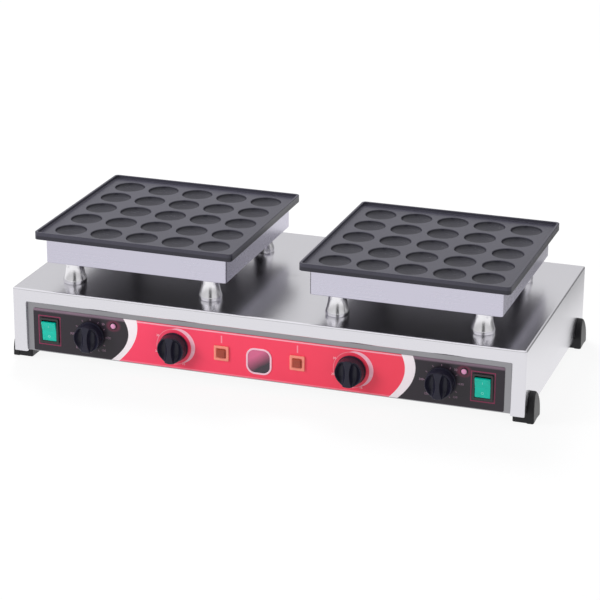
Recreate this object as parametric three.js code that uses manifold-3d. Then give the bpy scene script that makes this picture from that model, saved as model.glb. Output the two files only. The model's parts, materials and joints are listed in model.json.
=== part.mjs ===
// Twin electric mini pancake grill: two square baking plates with dished wells, each on a
// steel box that stands on four conical legs, over one folded steel casing with the controls.
// Millimetres, +Z up. The origin is on the worktop, in the middle of the outline.

import * as THREE from 'three';
import { mergeVertices } from 'three/addons/utils/BufferGeometryUtils.js';
import Module from 'manifold-3d';

const wasm = await Module();
wasm.setup();

// Casing, folded from steel sheet
const casingWidth = 760;
const casingDepth = 372;
const casingHeight = 96.5;
const sheetGauge = 1.5;
const foldRadius = 3;
const frontFlange = 20.5;
const returnDepth = 5;

// Clearances between pieces
const seatGap = 0.2;
const fitGap = 0.3;
const cutOverrun = 2;

// Corner feet
const footHeight = 15;
const footLength = 39;
const footSetback = 16;
const footInset = 20.5;
const footProud = 10;
const cheekRise = 33;
const cheekShoulder = 1;
const cheekCrest = 1.5;
const footRounding = 2;

// Bottom cover
const coverLip = 8;
const slotLength = 70;
const slotWidth = 5;
const slotPitch = 24;
const slotsPerBank = 5;
const slotBankX = 210;
const slotBankY = 55;

// Control panel and its printed overlay
const panelFold = 14;
const overlaySideGap = 9.5;
const overlayTopGap = 8.5;
const overlayRise = 2.5;
const overlayThickness = 0.5;
const overlayCorner = 2;
const controlsHeight = 35;
const timerX = 132;
const thermostatInset = 119;
const leftSwitchInset = 55;
const rightSwitchInset = 60;
const leftIndicatorInset = 155;
const rightIndicatorInset = 87;
const indicatorDrop = 21.5;
const leftPilotX = -60;
const rightPilotX = 53;

// Knobs and the shafts that they turn
const knobSkirtRadius = 21.5;
const knobSkirtHeight = 3;
const knobBodyRadius = 20.5;
const knobFaceRadius = 19.5;
const knobHeight = 20;
const knobEdge = 1.5;
const gripWidth = 9;
const scoopRadius = 45;
const scoopFloor = 11;
const knobBoreDepth = 11;
const knobHubRadius = 6;
const knobWall = 2;
const knobStandOff = 0.6;
const shaftRadius = 3;
const shaftFlat = 1.2;
const shaftSink = 10;

// Thermostats and timers behind the panel
const bushRadius = 4.6;
const bushBore = 3.5;
const thermostatWidth = 36;
const thermostatHeight = 42;
const thermostatDepth = 24;
const thermostatCorner = 4;
const timerRadius = 23;
const timerDepth = 30;
const timerRim = 25;
const timerRimDepth = 2.5;
const bladeWidth = 6.3;
const bladeThickness = 0.8;
const bladeLength = 9;
const bladeSpacing = 12;

// Rocker switches
const rockerWidth = 22;
const rockerHeight = 29;
const rockerCrest = 5;
const rockerTilt = 8;
const rockerHeelDepth = 4;
const rockerHeelWidth = 12;
const rockerEdge = 4;
const switchWall = 1.5;
const switchDepth = 21;
const switchBezel = 2;
const switchBezelThickness = 2.2;
const switchCorner = 1.5;
const pivotSink = 3;
const switchFloor = 7;

// Pilot lamps and round indicator lamps
const pilotBezel = 22;
const pilotBezelThickness = 2;
const pilotLens = 13;
const pilotLensRise = 3;
const pilotCorner = 1.5;
const pilotBarrelRadius = 5.5;
const lampBarrelDepth = 22;
const indicatorRadius = 5.5;
const indicatorRimThickness = 1.2;
const indicatorDome = 2.6;
const indicatorBarrelRadius = 3.8;

// Baking heads
const headSpacing = 400;
const headSetback = 20;
const plateSize = 301;
const plateCorner = 6;
const plateWeb = 6.7;
const plateRimHeight = 4.5;
const plateRimWidth = 3.5;
const plateDraft = 0.8;
const plateBlockDepth = 6;
const plateBlockGap = 1;
const wellCount = 5;
const wellPitch = 55;
const wellRadius = 24;
const wellDepth = 7.5;
const skirtInset = 12.5;
const skirtHeight = 37.5;
const skirtCorner = 4;
const trayLip = 12;

// Legs and the long bolts through them
const legHeight = 33.5;
const legX = 105;
const legY = 112;
const legTopRadius = 13;
const legBaseRadius = 17.2;
const legNeck = 9;
const legLip = 4.5;
const boltRadius = 4;
const boltHeadRadius = 7.2;
const boltHeadHeight = 5.3;
const boltEngagement = 4.5;

// Heater under each plate
const elementRadius = 4;
const elementRuns = 4;
const elementRunPitch = 55;
const elementRunLength = 180;
const elementTail = 22;
const clampThickness = 2;
const clampSize = 250;

// Lead sleeve from each head down into the casing
const sleeveX = 60;
const sleeveY = 92;
const sleeveRadius = 9;
const sleeveBore = 6.5;

// Terminal block and cable gland
const terminalWidth = 72;
const terminalDepth = 22;
const terminalHeight = 17;
const terminalStep = 6;
const terminalWays = 6;
const terminalWallGap = 30;
const glandX = 120;
const glandHeight = 42;
const glandThreadRadius = 10;
const glandHexRadius = 14;
const glandHexLength = 6;
const glandDomeRadius = 12;
const glandDomeLength = 14;
const glandMouthRadius = 8;
const glandBore = 5;
const glandNutLength = 5;
const glandThreadLength = 9;

// Facets of the round pieces
const wellSides = 12;
const legSides = 10;
const knobSides = 16;
const scoopSides = 36;
const smallSides = 10;
const holeSides = 6;
const shaftSteps = 4;
const elementSides = 6;
const elementSteps = 30;
const hexSides = 6;
const cornerSteps = 2;
const archSteps = 5;
const hiddenSteps = 1;

// Levels and planes that the sizes above give
const casingBottom = footHeight;
const casingTop = footHeight + casingHeight;
const skirtBottom = casingTop + legHeight;
const skirtTop = skirtBottom + skirtHeight;
const frontY = -casingDepth / 2;
const panelY = frontY + returnDepth + seatGap;
const overlayY = panelY - seatGap - overlayThickness;
const panelBackY = panelY + sheetGauge;
const panelHeight = casingHeight - sheetGauge - seatGap;
const innerWidth = casingWidth - 2 * sheetGauge;
const openingWidth = casingWidth - 2 * frontFlange;
const openingHeight = casingHeight - frontFlange;
const skirtSize = plateSize - 2 * skirtInset;
const legPlaces = [[-legX, -legY], [legX, -legY], [-legX, legY], [legX, legY]];
const controlsZ = casingBottom + controlsHeight;
const indicatorHeight = openingHeight - indicatorDrop;
const thermostatX = casingWidth / 2 - thermostatInset;
const switchPlaces = [leftSwitchInset - casingWidth / 2, casingWidth / 2 - rightSwitchInset];
const indicatorPlaces = [leftIndicatorInset - casingWidth / 2, casingWidth / 2 - rightIndicatorInset];
const bushLength = panelBackY + seatGap - overlayY;
const quarter = Math.PI / 2;

// Finishes
function finish(color, roughness, metalness) {
  return new THREE.MeshStandardMaterial({ color, roughness, metalness });
}
const brushedSteel = finish(0xc9cacd, 0.32, 1);
const polishedSteel = finish(0xd8d8da, 0.12, 1);
const plainSteel = finish(0x8f9194, 0.45, 1);
const coatedCasting = finish(0x3b3a42, 0.55, 0.2);
const redFilm = finish(0xe8425c, 0.4, 0);
const blackPlastic = finish(0x17171a, 0.4, 0);
const greenLens = finish(0x12b59c, 0.25, 0);
const amberLens = finish(0xd98a3a, 0.3, 0);
const pinkLens = finish(0xe87a9a, 0.3, 0);
const paleCeramic = finish(0xe6e0d2, 0.7, 0);
const mineralWool = finish(0xd9d2b8, 0.95, 0);
const darkPan = finish(0x4b4b50, 0.5, 0.8);

// A closed geometry as a solid that can be cut and joined
function solid(geometry) {
  const bare = geometry.clone();
  bare.deleteAttribute('normal');
  bare.deleteAttribute('uv');
  const merged = mergeVertices(bare);
  const corners = merged.index.array;
  const kept = [];
  for (let i = 0; i < corners.length; i += 3) {
    const [a, b, c] = [corners[i], corners[i + 1], corners[i + 2]];
    if (a !== b && b !== c && c !== a) kept.push(a, b, c);
  }
  const vertProperties = merged.attributes.position.array;
  return new wasm.Manifold(new wasm.Mesh({ numProp: 3, vertProperties, triVerts: new Uint32Array(kept) }));
}

// A cut or joined solid as a geometry again
function shaped(body) {
  const { vertProperties, triVerts } = body.getMesh();
  const geometry = new THREE.BufferGeometry();
  geometry.setAttribute('position', new THREE.BufferAttribute(vertProperties, 3));
  geometry.setIndex(new THREE.BufferAttribute(triVerts, 1));
  geometry.computeVertexNormals();
  return geometry;
}

// One geometry with others cut out of it
function cut(geometry, cutters) {
  return shaped(cutters.reduce((body, cutter) => body.subtract(solid(cutter)), solid(geometry)));
}

// Geometries that overlap, joined into one
function joined(geometries) {
  const bodies = geometries.map(solid);
  return shaped(bodies.reduce((whole, body) => whole.add(body)));
}

// A straight-sided outline through its corners
function polygon(corners) {
  return new THREE.Shape(corners.map(([x, y]) => new THREE.Vector2(x, y)));
}

// A rectangle about its middle, with round corners where a radius is given
function rectangle(width, height, radius = 0) {
  const [x, y] = [width / 2, height / 2];
  if (radius === 0) {
    return polygon([[-x, -y], [x, -y], [x, y], [-x, y]]);
  }
  const outline = new THREE.Shape();
  outline.absarc(x - radius, y - radius, radius, 0, quarter);
  outline.absarc(radius - x, y - radius, radius, quarter, 2 * quarter);
  outline.absarc(radius - x, radius - y, radius, 2 * quarter, 3 * quarter);
  outline.absarc(x - radius, radius - y, radius, 3 * quarter, 4 * quarter);
  outline.closePath();
  return outline;
}

// A circle as an outline
function circle(radius, x = 0, y = 0, sides = smallSides) {
  return new THREE.Shape(new THREE.EllipseCurve(x, y, radius, radius).getPoints(sides).slice(1));
}

// The outline moved in its plane
function moved(outline, x, y, steps = cornerSteps) {
  return new THREE.Shape(outline.getPoints(steps).map((p) => new THREE.Vector2(p.x + x, p.y + y)));
}

// An outline raised to a height
function raised(outline, height, steps = cornerSteps) {
  return new THREE.ExtrudeGeometry(outline, { depth: height, bevelEnabled: false, curveSegments: steps });
}

// An outline raised to a thickness, with openings of other outlines through it
function pierced(outline, thickness, openings) {
  return cut(raised(outline, thickness), openings.map((opening) => raised(opening, thickness + 2 * cutOverrun)
    .translate(0, 0, -cutOverrun)));
}

// A block given by its lowest corner and its size
function block(x, y, z, width, depth, height) {
  const geometry = new THREE.BoxGeometry(width, depth, height);
  return geometry.translate(x + width / 2, y + depth / 2, z + height / 2);
}

// A rod from a level up
function rod(radius, height, sides = smallSides) {
  return raised(circle(radius, 0, 0, sides), height);
}

// A profile of radius and level, turned about the upright axis
function turned(profile, sides) {
  const points = profile.map(([radius, level]) => new THREE.Vector2(radius, level));
  return new THREE.LatheGeometry(points, sides).rotateX(quarter);
}

// Turns a profile of depth and level so that it is raised along the width
function acrossTheWidth() {
  return new THREE.Matrix4().makeBasis(
    new THREE.Vector3(0, 1, 0), new THREE.Vector3(0, 0, 1), new THREE.Vector3(1, 0, 0));
}

// A profile of depth and level, drawn out along the width and centred on it
function drawnAcross(outline, width) {
  return raised(outline, width).applyMatrix4(acrossTheWidth()).translate(-width / 2, 0, 0);
}

// Adds one named piece to a group
function place(group, name, geometry, material, x = 0, y = 0, z = 0) {
  const mesh = new THREE.Mesh(geometry, material);
  mesh.name = name;
  mesh.position.set(x, y, z);
  group.add(mesh);
  return mesh;
}

// Faces a piece that is built upwards towards the user instead
function faceForward(mesh) {
  mesh.rotation.x = quarter;
  return mesh;
}

// Side view of the casing: top folds rounded, open below
function casingSection(inset, drop) {
  const [y, z] = [casingDepth / 2 - inset, casingHeight - inset];
  const radius = foldRadius - inset;
  const outline = new THREE.Shape();
  outline.moveTo(-y, -drop);
  outline.lineTo(y, -drop);
  outline.absarc(y - radius, z - radius, radius, 0, quarter);
  outline.absarc(radius - y, z - radius, radius, quarter, 2 * quarter);
  outline.closePath();
  return outline;
}

// The fold that runs back from the edge of the front opening
function frontReturn() {
  const half = openingWidth / 2;
  const top = openingHeight;
  const outer = half + sheetGauge;
  const outline = polygon([[-outer, 0], [-half, 0], [-half, top], [half, top], [half, 0], [outer, 0],
    [outer, top + sheetGauge], [-outer, top + sheetGauge]]);
  return raised(outline, returnDepth).rotateX(quarter).translate(0, frontY + returnDepth, 0);
}

function casingGeometry() {
  const shell = cut(drawnAcross(casingSection(0, 0), casingWidth), [
    drawnAcross(casingSection(sheetGauge, cutOverrun), innerWidth),
    block(-openingWidth / 2, frontY - cutOverrun, -cutOverrun, openingWidth, sheetGauge + 2 * cutOverrun,
      openingHeight + cutOverrun),
  ]);
  const deckHoles = [];
  for (const side of [-1, 1]) {
    const [x, y, z] = [side * headSpacing / 2, -headSetback, casingHeight - sheetGauge - cutOverrun];
    const through = sheetGauge + 2 * cutOverrun;
    for (const [legAtX, legAtY] of legPlaces) {
      deckHoles.push(rod(boltRadius + fitGap, through, holeSides).translate(x + legAtX, y + legAtY, z));
    }
    deckHoles.push(rod(sleeveBore, through, holeSides).translate(x + sleeveX, y + sleeveY, z));
  }
  const glandHole = rod(glandThreadRadius + fitGap, sheetGauge + 2 * cutOverrun, knobSides).rotateX(quarter);
  glandHole.translate(glandX, casingDepth / 2 + cutOverrun, glandHeight);
  return cut(joined([shell, frontReturn()]), [...deckHoles, glandHole]);
}

// A shallow pan of sheet: floor, four lips and holes in the floor
function pan(width, depth, lip, holes, corner = 0) {
  const outline = rectangle(width, depth, corner);
  const inside = block(sheetGauge - width / 2, sheetGauge - depth / 2, sheetGauge, width - 2 * sheetGauge,
    depth - 2 * sheetGauge, lip);
  return cut(raised(outline, lip, hiddenSteps), [inside, ...holes]);
}

function coverSlots() {
  const slots = [];
  const outline = rectangle(slotWidth, slotLength);
  for (const side of [-1, 1]) {
    for (const bankY of [-slotBankY, slotBankY]) {
      for (let i = 0; i < slotsPerBank; i += 1) {
        const x = side * slotBankX + (i - (slotsPerBank - 1) / 2) * slotPitch;
        slots.push(raised(outline, sheetGauge + 2 * cutOverrun).translate(x, bankY, -cutOverrun));
      }
    }
  }
  return slots;
}

// Corner foot of the right side: a pad under the casing and an arched cheek beside it
function footGeometry(side) {
  const half = footLength / 2;
  const shoulder = footHeight + cheekShoulder;
  const outline = new THREE.Shape();
  outline.moveTo(-half, 0);
  outline.lineTo(half, 0);
  outline.lineTo(half, shoulder);
  outline.absellipse(0, shoulder, half, cheekRise - cheekShoulder, 0, 2 * quarter);
  outline.closePath();
  const width = footInset + footProud;
  const whole = new THREE.ExtrudeGeometry(outline, {
    depth: width - 2 * footRounding,
    bevelEnabled: true,
    bevelThickness: footRounding,
    bevelSize: footRounding,
    bevelOffset: -footRounding,
    bevelSegments: 1,
    curveSegments: archSteps,
  }).applyMatrix4(acrossTheWidth()).translate(footRounding - footInset, 0, 0);
  const casingRoom = block(-footInset - cutOverrun, -footLength, footHeight - seatGap,
    footInset + cutOverrun + fitGap, 2 * footLength, cheekRise + footHeight);
  const foot = cut(shaped(solid(whole).intersect(solid(cheekTaper()))), [casingRoom]);
  return side > 0 ? foot : foot.rotateZ(2 * quarter);
}

// What the foot fills when it is seen from the front: upright below, drawn in to a thin crest above
function cheekTaper() {
  const reach = footHeight + cheekRise + cheekCrest;
  const outline = new THREE.Shape();
  outline.moveTo(-footInset - cutOverrun, -cutOverrun);
  outline.lineTo(footProud + cutOverrun, -cutOverrun);
  outline.lineTo(footProud, footHeight / 2);
  outline.absellipse(0, footHeight / 2, footProud, reach - footHeight / 2, 0, quarter);
  outline.lineTo(-footInset - cutOverrun, reach);
  outline.closePath();
  return raised(outline, 2 * footLength, archSteps).rotateX(quarter).translate(0, footLength, 0);
}

// Side view of the control panel: an upright sheet folded back along its lower edge
function panelSection() {
  const inner = foldRadius - sheetGauge;
  const outline = new THREE.Shape();
  outline.moveTo(panelFold, 0);
  outline.lineTo(panelFold, sheetGauge);
  outline.lineTo(foldRadius, sheetGauge);
  outline.absarc(foldRadius, foldRadius, inner, 3 * quarter, 2 * quarter, true);
  outline.lineTo(sheetGauge, panelHeight);
  outline.lineTo(0, panelHeight);
  outline.absarc(foldRadius, foldRadius, foldRadius, 2 * quarter, 3 * quarter);
  outline.closePath();
  return outline;
}

// Half the height that the rocker sweeps when it tips
function rockerSweep() {
  const end = rockerCrest + Math.tan(THREE.MathUtils.degToRad(rockerTilt)) * rockerHeight / 2;
  const reach = Math.hypot(rockerHeight / 2, end);
  return reach * Math.cos(Math.atan2(end, rockerHeight / 2) - THREE.MathUtils.degToRad(rockerTilt));
}
const pocketWidth = rockerWidth + 2 * fitGap;
const pocketHeight = 2 * (rockerSweep() + fitGap);
const switchWidth = pocketWidth + 2 * switchWall;
const switchHeight = pocketHeight + 2 * switchWall;

// The openings of the panel and of its overlay, drawn from the front
function panelOpenings(gap) {
  const openings = [];
  for (const x of [-thermostatX, -timerX, timerX, thermostatX]) {
    openings.push(circle(bushRadius + gap, x, controlsHeight));
  }
  for (const x of switchPlaces) {
    openings.push(moved(rectangle(switchWidth + 2 * gap, switchHeight + 2 * gap), x, controlsHeight));
  }
  for (const x of [leftPilotX, rightPilotX]) {
    openings.push(circle(pilotBarrelRadius + gap, x, controlsHeight));
  }
  for (const x of indicatorPlaces) {
    openings.push(circle(indicatorBarrelRadius + gap, x, indicatorHeight));
  }
  return openings;
}

function panelGeometry() {
  const sheet = drawnAcross(panelSection(), innerWidth - 2 * fitGap);
  return cut(sheet, panelOpenings(fitGap).map((opening) => raised(opening, sheetGauge + 2 * cutOverrun)
    .rotateX(quarter).translate(0, sheetGauge + cutOverrun, 0)));
}

function overlayGeometry() {
  const height = openingHeight - overlayRise - overlayTopGap;
  const film = rectangle(openingWidth - 2 * overlaySideGap, height, overlayCorner);
  return pierced(moved(film, 0, overlayRise + height / 2), overlayThickness, panelOpenings(fitGap));
}

// A round bar with one flat, as an outline
function shaftSection(grow) {
  const radius = shaftRadius + grow;
  const flat = Math.acos((shaftRadius - shaftFlat + grow) / radius);
  const outline = new THREE.Shape();
  outline.absarc(0, 0, radius, quarter + flat, 5 * quarter - flat);
  outline.closePath();
  return outline;
}

// Knob: skirt and deep body with a hollow back round its hub; two scoops leave a waisted grip
function knobGeometry() {
  const hollowTop = scoopFloor - knobWall;
  const body = turned([[0, 0], [knobHubRadius, 0], [knobHubRadius, hollowTop],
    [knobFaceRadius - knobWall, hollowTop], [knobBodyRadius - knobWall, 0], [knobSkirtRadius, 0],
    [knobSkirtRadius, knobSkirtHeight - knobWall / 2], [knobBodyRadius, knobSkirtHeight],
    [knobFaceRadius, knobHeight - knobEdge], [knobFaceRadius - knobEdge, knobHeight], [0, knobHeight]],
  knobSides);
  const scoops = [-1, 1].map((side) => rod(scoopRadius, knobHeight - scoopFloor + cutOverrun, scoopSides)
    .translate(side * (scoopRadius + gripWidth / 2), 0, scoopFloor));
  const bore = raised(shaftSection(fitGap), knobBoreDepth + cutOverrun, shaftSteps);
  return cut(body, [...scoops, bore.translate(0, 0, -cutOverrun)]);
}

// Flat blades at the back of a switch, timer or thermostat
function blades(count, depth) {
  const list = [];
  for (let i = 0; i < count; i += 1) {
    const x = (i - (count - 1) / 2) * bladeSpacing;
    list.push(block(x - bladeThickness / 2, -bladeWidth / 2, -depth - bladeLength, bladeThickness, bladeWidth,
      bladeLength + bladeThickness));
  }
  return list;
}

// The threaded bush that carries a shaft through the panel, with the shaft's bore cut in the body
function withBush(parts) {
  const bush = rod(bushRadius, bushLength + bladeThickness).translate(0, 0, -bladeThickness);
  const bore = rod(bushBore, bushLength + shaftSink + cutOverrun).translate(0, 0, -shaftSink - fitGap);
  return cut(joined([...parts, bush]), [bore]);
}

function thermostatGeometry() {
  const body = raised(rectangle(thermostatWidth, thermostatHeight, thermostatCorner), thermostatDepth,
    hiddenSteps);
  return withBush([body.translate(0, 0, -thermostatDepth), ...blades(2, thermostatDepth)]);
}

function timerGeometry() {
  const body = turned([[0, -timerDepth], [timerRadius, -timerDepth], [timerRadius, -timerRimDepth],
    [timerRim, -timerRimDepth], [timerRim, 0], [0, 0]], knobSides);
  return withBush([body, ...blades(3, timerDepth)]);
}

// Rocker in side view: two faces that meet in a shallow valley over the pivot
function rockerGeometry() {
  const half = rockerHeight / 2;
  const end = rockerCrest + Math.tan(THREE.MathUtils.degToRad(rockerTilt)) * half;
  const heel = rockerHeelWidth / 2;
  return drawnAcross(polygon([[-half, end], [-half, end - rockerEdge], [-heel, -rockerHeelDepth],
    [heel, -rockerHeelDepth], [half, end - rockerEdge], [half, end], [0, rockerCrest]]), rockerWidth);
}

// Housing of a rocker switch: a bezel on the panel and an open box behind it
function switchGeometry() {
  const bezel = raised(rectangle(switchWidth + 2 * switchBezel, switchHeight + 2 * switchBezel, switchCorner),
    switchBezelThickness);
  const box = block(-switchWidth / 2, -switchHeight / 2, -switchDepth, switchWidth, switchHeight,
    switchDepth + switchBezelThickness / 2);
  const pocket = block(-pocketWidth / 2, -pocketHeight / 2, -switchFloor - pivotSink, pocketWidth,
    pocketHeight, switchDepth);
  return cut(joined([bezel, box, ...blades(2, switchDepth)]), [pocket]);
}

function pilotGeometry() {
  const bezel = raised(rectangle(pilotBezel, pilotBezel, pilotCorner), pilotBezelThickness);
  const edge = pilotCorner / 2;
  const lens = new THREE.ExtrudeGeometry(rectangle(pilotLens - 2 * edge, pilotLens - 2 * edge, edge), {
    depth: pilotBezelThickness + pilotLensRise - 2 * edge,
    bevelThickness: edge,
    bevelSize: edge,
    bevelSegments: 1,
    curveSegments: hiddenSteps,
  }).translate(0, 0, edge);
  const barrel = rod(pilotBarrelRadius, lampBarrelDepth + pilotBezelThickness / 2);
  return joined([bezel, lens, barrel.translate(0, 0, -lampBarrelDepth)]);
}

function indicatorGeometry() {
  const profile = [[0, -lampBarrelDepth], [indicatorBarrelRadius, -lampBarrelDepth],
    [indicatorBarrelRadius, 0], [indicatorRadius, 0], [indicatorRadius, indicatorRimThickness]];
  for (let i = 1; i <= cornerSteps; i += 1) {
    const turn = quarter * i / cornerSteps;
    const radius = i < cornerSteps ? indicatorBarrelRadius * Math.cos(turn) : 0;
    profile.push([radius, indicatorRimThickness + (indicatorDome - indicatorRimThickness) * Math.sin(turn)]);
  }
  return turned(profile, smallSides);
}

// One dished well, as the cutter that sinks it: a steep wall that rounds into a shallow floor
function wellCutter() {
  const wallShares = [[1, 0], [0.93, 0.6], [0.6, 0.93]];
  const profile = [[0, -wellDepth]];
  for (const [radiusShare, depthShare] of [...wallShares].reverse()) {
    profile.push([wellRadius * radiusShare, -wellDepth * depthShare]);
  }
  profile.push([wellRadius, plateRimHeight], [0, plateRimHeight]);
  return turned(profile, wellSides);
}

// Baking plate: a coated casting with a raised rim, its wells, and a block that drops into the box
function plateGeometry() {
  const outer = plateSize - 2 * plateDraft;
  const slab = new THREE.ExtrudeGeometry(rectangle(outer, outer, plateCorner - plateDraft), {
    depth: plateWeb + plateRimHeight - 2 * plateDraft,
    bevelThickness: plateDraft,
    bevelSize: plateDraft,
    bevelSegments: 1,
    curveSegments: cornerSteps,
  }).translate(0, 0, plateDraft);
  const trayWidth = plateSize - 2 * plateRimWidth;
  const trayCut = raised(rectangle(trayWidth, trayWidth, plateCorner - plateRimWidth / 2), plateRimHeight
    + cutOverrun).translate(0, 0, plateWeb);
  const blockSize = skirtSize - 2 * sheetGauge - 2 * plateBlockGap;
  const seat = raised(rectangle(blockSize, blockSize, skirtCorner - sheetGauge),
    plateBlockDepth + plateWeb / 2).translate(0, 0, -plateBlockDepth);
  const wells = [];
  for (let row = 0; row < wellCount; row += 1) {
    for (let column = 0; column < wellCount; column += 1) {
      const middle = (wellCount - 1) / 2;
      wells.push(wellCutter().translate((column - middle) * wellPitch, (row - middle) * wellPitch, plateWeb));
    }
  }
  const boltDepth = boltEngagement + fitGap + cutOverrun;
  const boltHoles = legPlaces.map(([x, y]) => rod(boltRadius + fitGap, boltDepth, holeSides)
    .translate(x, y, -plateBlockDepth - cutOverrun));
  return cut(joined([slab, seat]), [trayCut, ...wells, ...boltHoles]);
}

function skirtGeometry() {
  const inside = skirtSize - 2 * sheetGauge;
  return pierced(rectangle(skirtSize, skirtSize, skirtCorner), skirtHeight - seatGap,
    [rectangle(inside, inside, skirtCorner - sheetGauge)]);
}

function trayGeometry() {
  const size = skirtSize - 2 * sheetGauge - 2 * fitGap;
  const through = sheetGauge + 2 * cutOverrun;
  const holes = legPlaces.map(([x, y]) => rod(boltRadius + fitGap, through, holeSides)
    .translate(x, y, -cutOverrun));
  holes.push(rod(sleeveBore, through, holeSides).translate(sleeveX, sleeveY, -cutOverrun));
  return pan(size, size, trayLip, holes, skirtCorner - sheetGauge);
}

// A flat square with the four bolt holes and a hole for the leads
function drilledSquare(thickness) {
  const holes = legPlaces.map(([x, y]) => circle(boltRadius + fitGap, x, y, holeSides));
  return pierced(rectangle(clampSize, clampSize), thickness,
    [...holes, circle(sleeveBore, sleeveX, sleeveY, holeSides)]);
}

// Leg: a turned cone with a straight neck and a short lip at its base, bored through
function legGeometry() {
  const bore = boltRadius + fitGap;
  const flareShares = [[0.7, 0.15], [0.25, 0.55]];
  const flare = legHeight - seatGap - legNeck - legLip;
  const profile = [[bore, 0], [legBaseRadius, 0], [legBaseRadius, legLip]];
  for (const [radiusShare, levelShare] of flareShares) {
    profile.push([legTopRadius + (legBaseRadius - legTopRadius) * radiusShare, legLip + flare * levelShare]);
  }
  profile.push([legTopRadius, legLip + flare], [legTopRadius, legHeight - seatGap],
    [bore, legHeight - seatGap], [bore, 0]);
  return turned(profile, legSides);
}

// Long bolt: its head is under the deck, and it runs up through leg, tray and clamp into the plate
function boltGeometry() {
  const length = sheetGauge + legHeight + skirtHeight - plateBlockDepth + boltEngagement + seatGap;
  const head = rod(boltHeadRadius, boltHeadHeight, hexSides).translate(0, 0, seatGap / 2 - boltHeadHeight);
  return joined([rod(boltRadius, length, holeSides), head]);
}

// The middle line of the heater: straight runs joined by half turns, with two short tails
function elementPath() {
  const path = new THREE.CurvePath();
  const half = elementRunLength / 2;
  const bend = elementRunPitch / 2;
  const pull = bend * 4 / 3 * Math.tan(quarter / 4);
  const first = -(elementRuns - 1) / 2 * elementRunPitch;
  const point = (x, y) => new THREE.Vector3(x, y, 0);
  path.add(new THREE.LineCurve3(point(first, half + elementTail), point(first, half)));
  for (let run = 0; run < elementRuns; run += 1) {
    const x = first + run * elementRunPitch;
    const way = run % 2 === 0 ? -1 : 1;
    path.add(new THREE.LineCurve3(point(x, -way * half), point(x, way * half)));
    if (run < elementRuns - 1) {
      const tip = way * (half + bend);
      path.add(new THREE.CubicBezierCurve3(point(x, way * half), point(x, way * (half + pull)),
        point(x + bend - pull, tip), point(x + bend, tip)));
      path.add(new THREE.CubicBezierCurve3(point(x + bend, tip), point(x + bend + pull, tip),
        point(x + elementRunPitch, way * (half + pull)), point(x + elementRunPitch, way * half)));
    }
  }
  path.add(new THREE.LineCurve3(point(-first, half), point(-first, half + elementTail)));
  return path;
}

function elementGeometry() {
  const section = circle(elementRadius, 0, 0, elementSides);
  return new THREE.ExtrudeGeometry(section, { extrudePath: elementPath(), steps: elementSteps });
}

function sleeveGeometry() {
  return pierced(circle(sleeveRadius), legHeight - 2 * seatGap, [circle(sleeveBore)]);
}

// Terminal block: a stepped ceramic bar with a barrier between each way and the next
function terminalGeometry() {
  const half = terminalDepth / 2;
  const inner = half - terminalStep;
  const crest = terminalHeight - terminalStep;
  const bar = drawnAcross(polygon([[-half, 0], [half, 0], [half, terminalHeight / 2],
    [inner, terminalHeight / 2], [inner, crest], [-inner, crest], [-inner, terminalHeight / 2],
    [-half, terminalHeight / 2]]), terminalWidth);
  const parts = [bar];
  for (let i = 0; i <= terminalWays; i += 1) {
    const x = (i / terminalWays - 1 / 2) * (terminalWidth - sheetGauge);
    parts.push(block(x - sheetGauge / 2, -half, 0, sheetGauge, terminalDepth, terminalHeight));
  }
  return joined(parts);
}

// Cable gland: hexagon and domed nut outside the wall, thread and locknut inside, one bore through
function glandGeometry() {
  const inner = -glandThreadLength - sheetGauge;
  const core = turned([[0, inner], [glandThreadRadius, inner], [glandThreadRadius, glandHexLength / 2],
    [glandDomeRadius, glandHexLength / 2], [glandDomeRadius, glandHexLength + glandDomeLength / 2],
    [glandMouthRadius, glandHexLength + glandDomeLength], [0, glandHexLength + glandDomeLength]], legSides);
  const hexagon = rod(glandHexRadius, glandHexLength, hexSides);
  const nutSeat = -sheetGauge - 2 * seatGap;
  const nut = rod(glandHexRadius, glandNutLength, hexSides).translate(0, 0, nutSeat - glandNutLength);
  const reach = glandThreadLength + sheetGauge + glandHexLength + glandDomeLength + 2 * cutOverrun;
  return cut(joined([core, hexagon, nut]), [rod(glandBore, reach).translate(0, 0, inner - cutOverrun)]);
}

// Casing, cover, panel and feet
function addBase(machine) {
  place(machine, 'casing', casingGeometry(), brushedSteel, 0, 0, casingBottom);
  const coverFront = panelY + panelFold + fitGap;
  const coverBack = casingDepth / 2 - sheetGauge - fitGap;
  place(machine, 'bottom_cover', pan(innerWidth - 2 * fitGap, coverBack - coverFront, coverLip, coverSlots()),
    plainSteel, 0, (coverFront + coverBack) / 2, casingBottom);
  place(machine, 'control_panel', panelGeometry(), brushedSteel, 0, panelY, casingBottom);
  faceForward(place(machine, 'panel_overlay', overlayGeometry(), redFilm, 0, overlayY + overlayThickness,
    casingBottom));
  for (const [sideName, side] of [['left', -1], ['right', 1]]) {
    for (const [endName, end] of [['front', -1], ['rear', 1]]) {
      const [x, y] = [side * casingWidth / 2, end * (casingDepth / 2 - footSetback - footLength / 2)];
      place(machine, `foot_${endName}_${sideName}`, footGeometry(side), blackPlastic, x, y);
    }
  }
}

// A knob with its shaft, and the control behind the panel that carries them
function addControl(machine, name, body, x) {
  faceForward(place(machine, name, body, plainSteel, x, panelBackY + seatGap, controlsZ));
  const knobY = overlayY - knobStandOff;
  faceForward(place(machine, `${name}_knob`, knobGeometry(), blackPlastic, x, knobY, controlsZ));
  const shaftBack = panelBackY + seatGap + shaftSink;
  const shaftFront = knobY - knobBoreDepth + fitGap;
  faceForward(place(machine, `${name}_shaft`, raised(shaftSection(0), shaftBack - shaftFront, shaftSteps),
    plainSteel, x, shaftBack, controlsZ));
}

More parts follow.
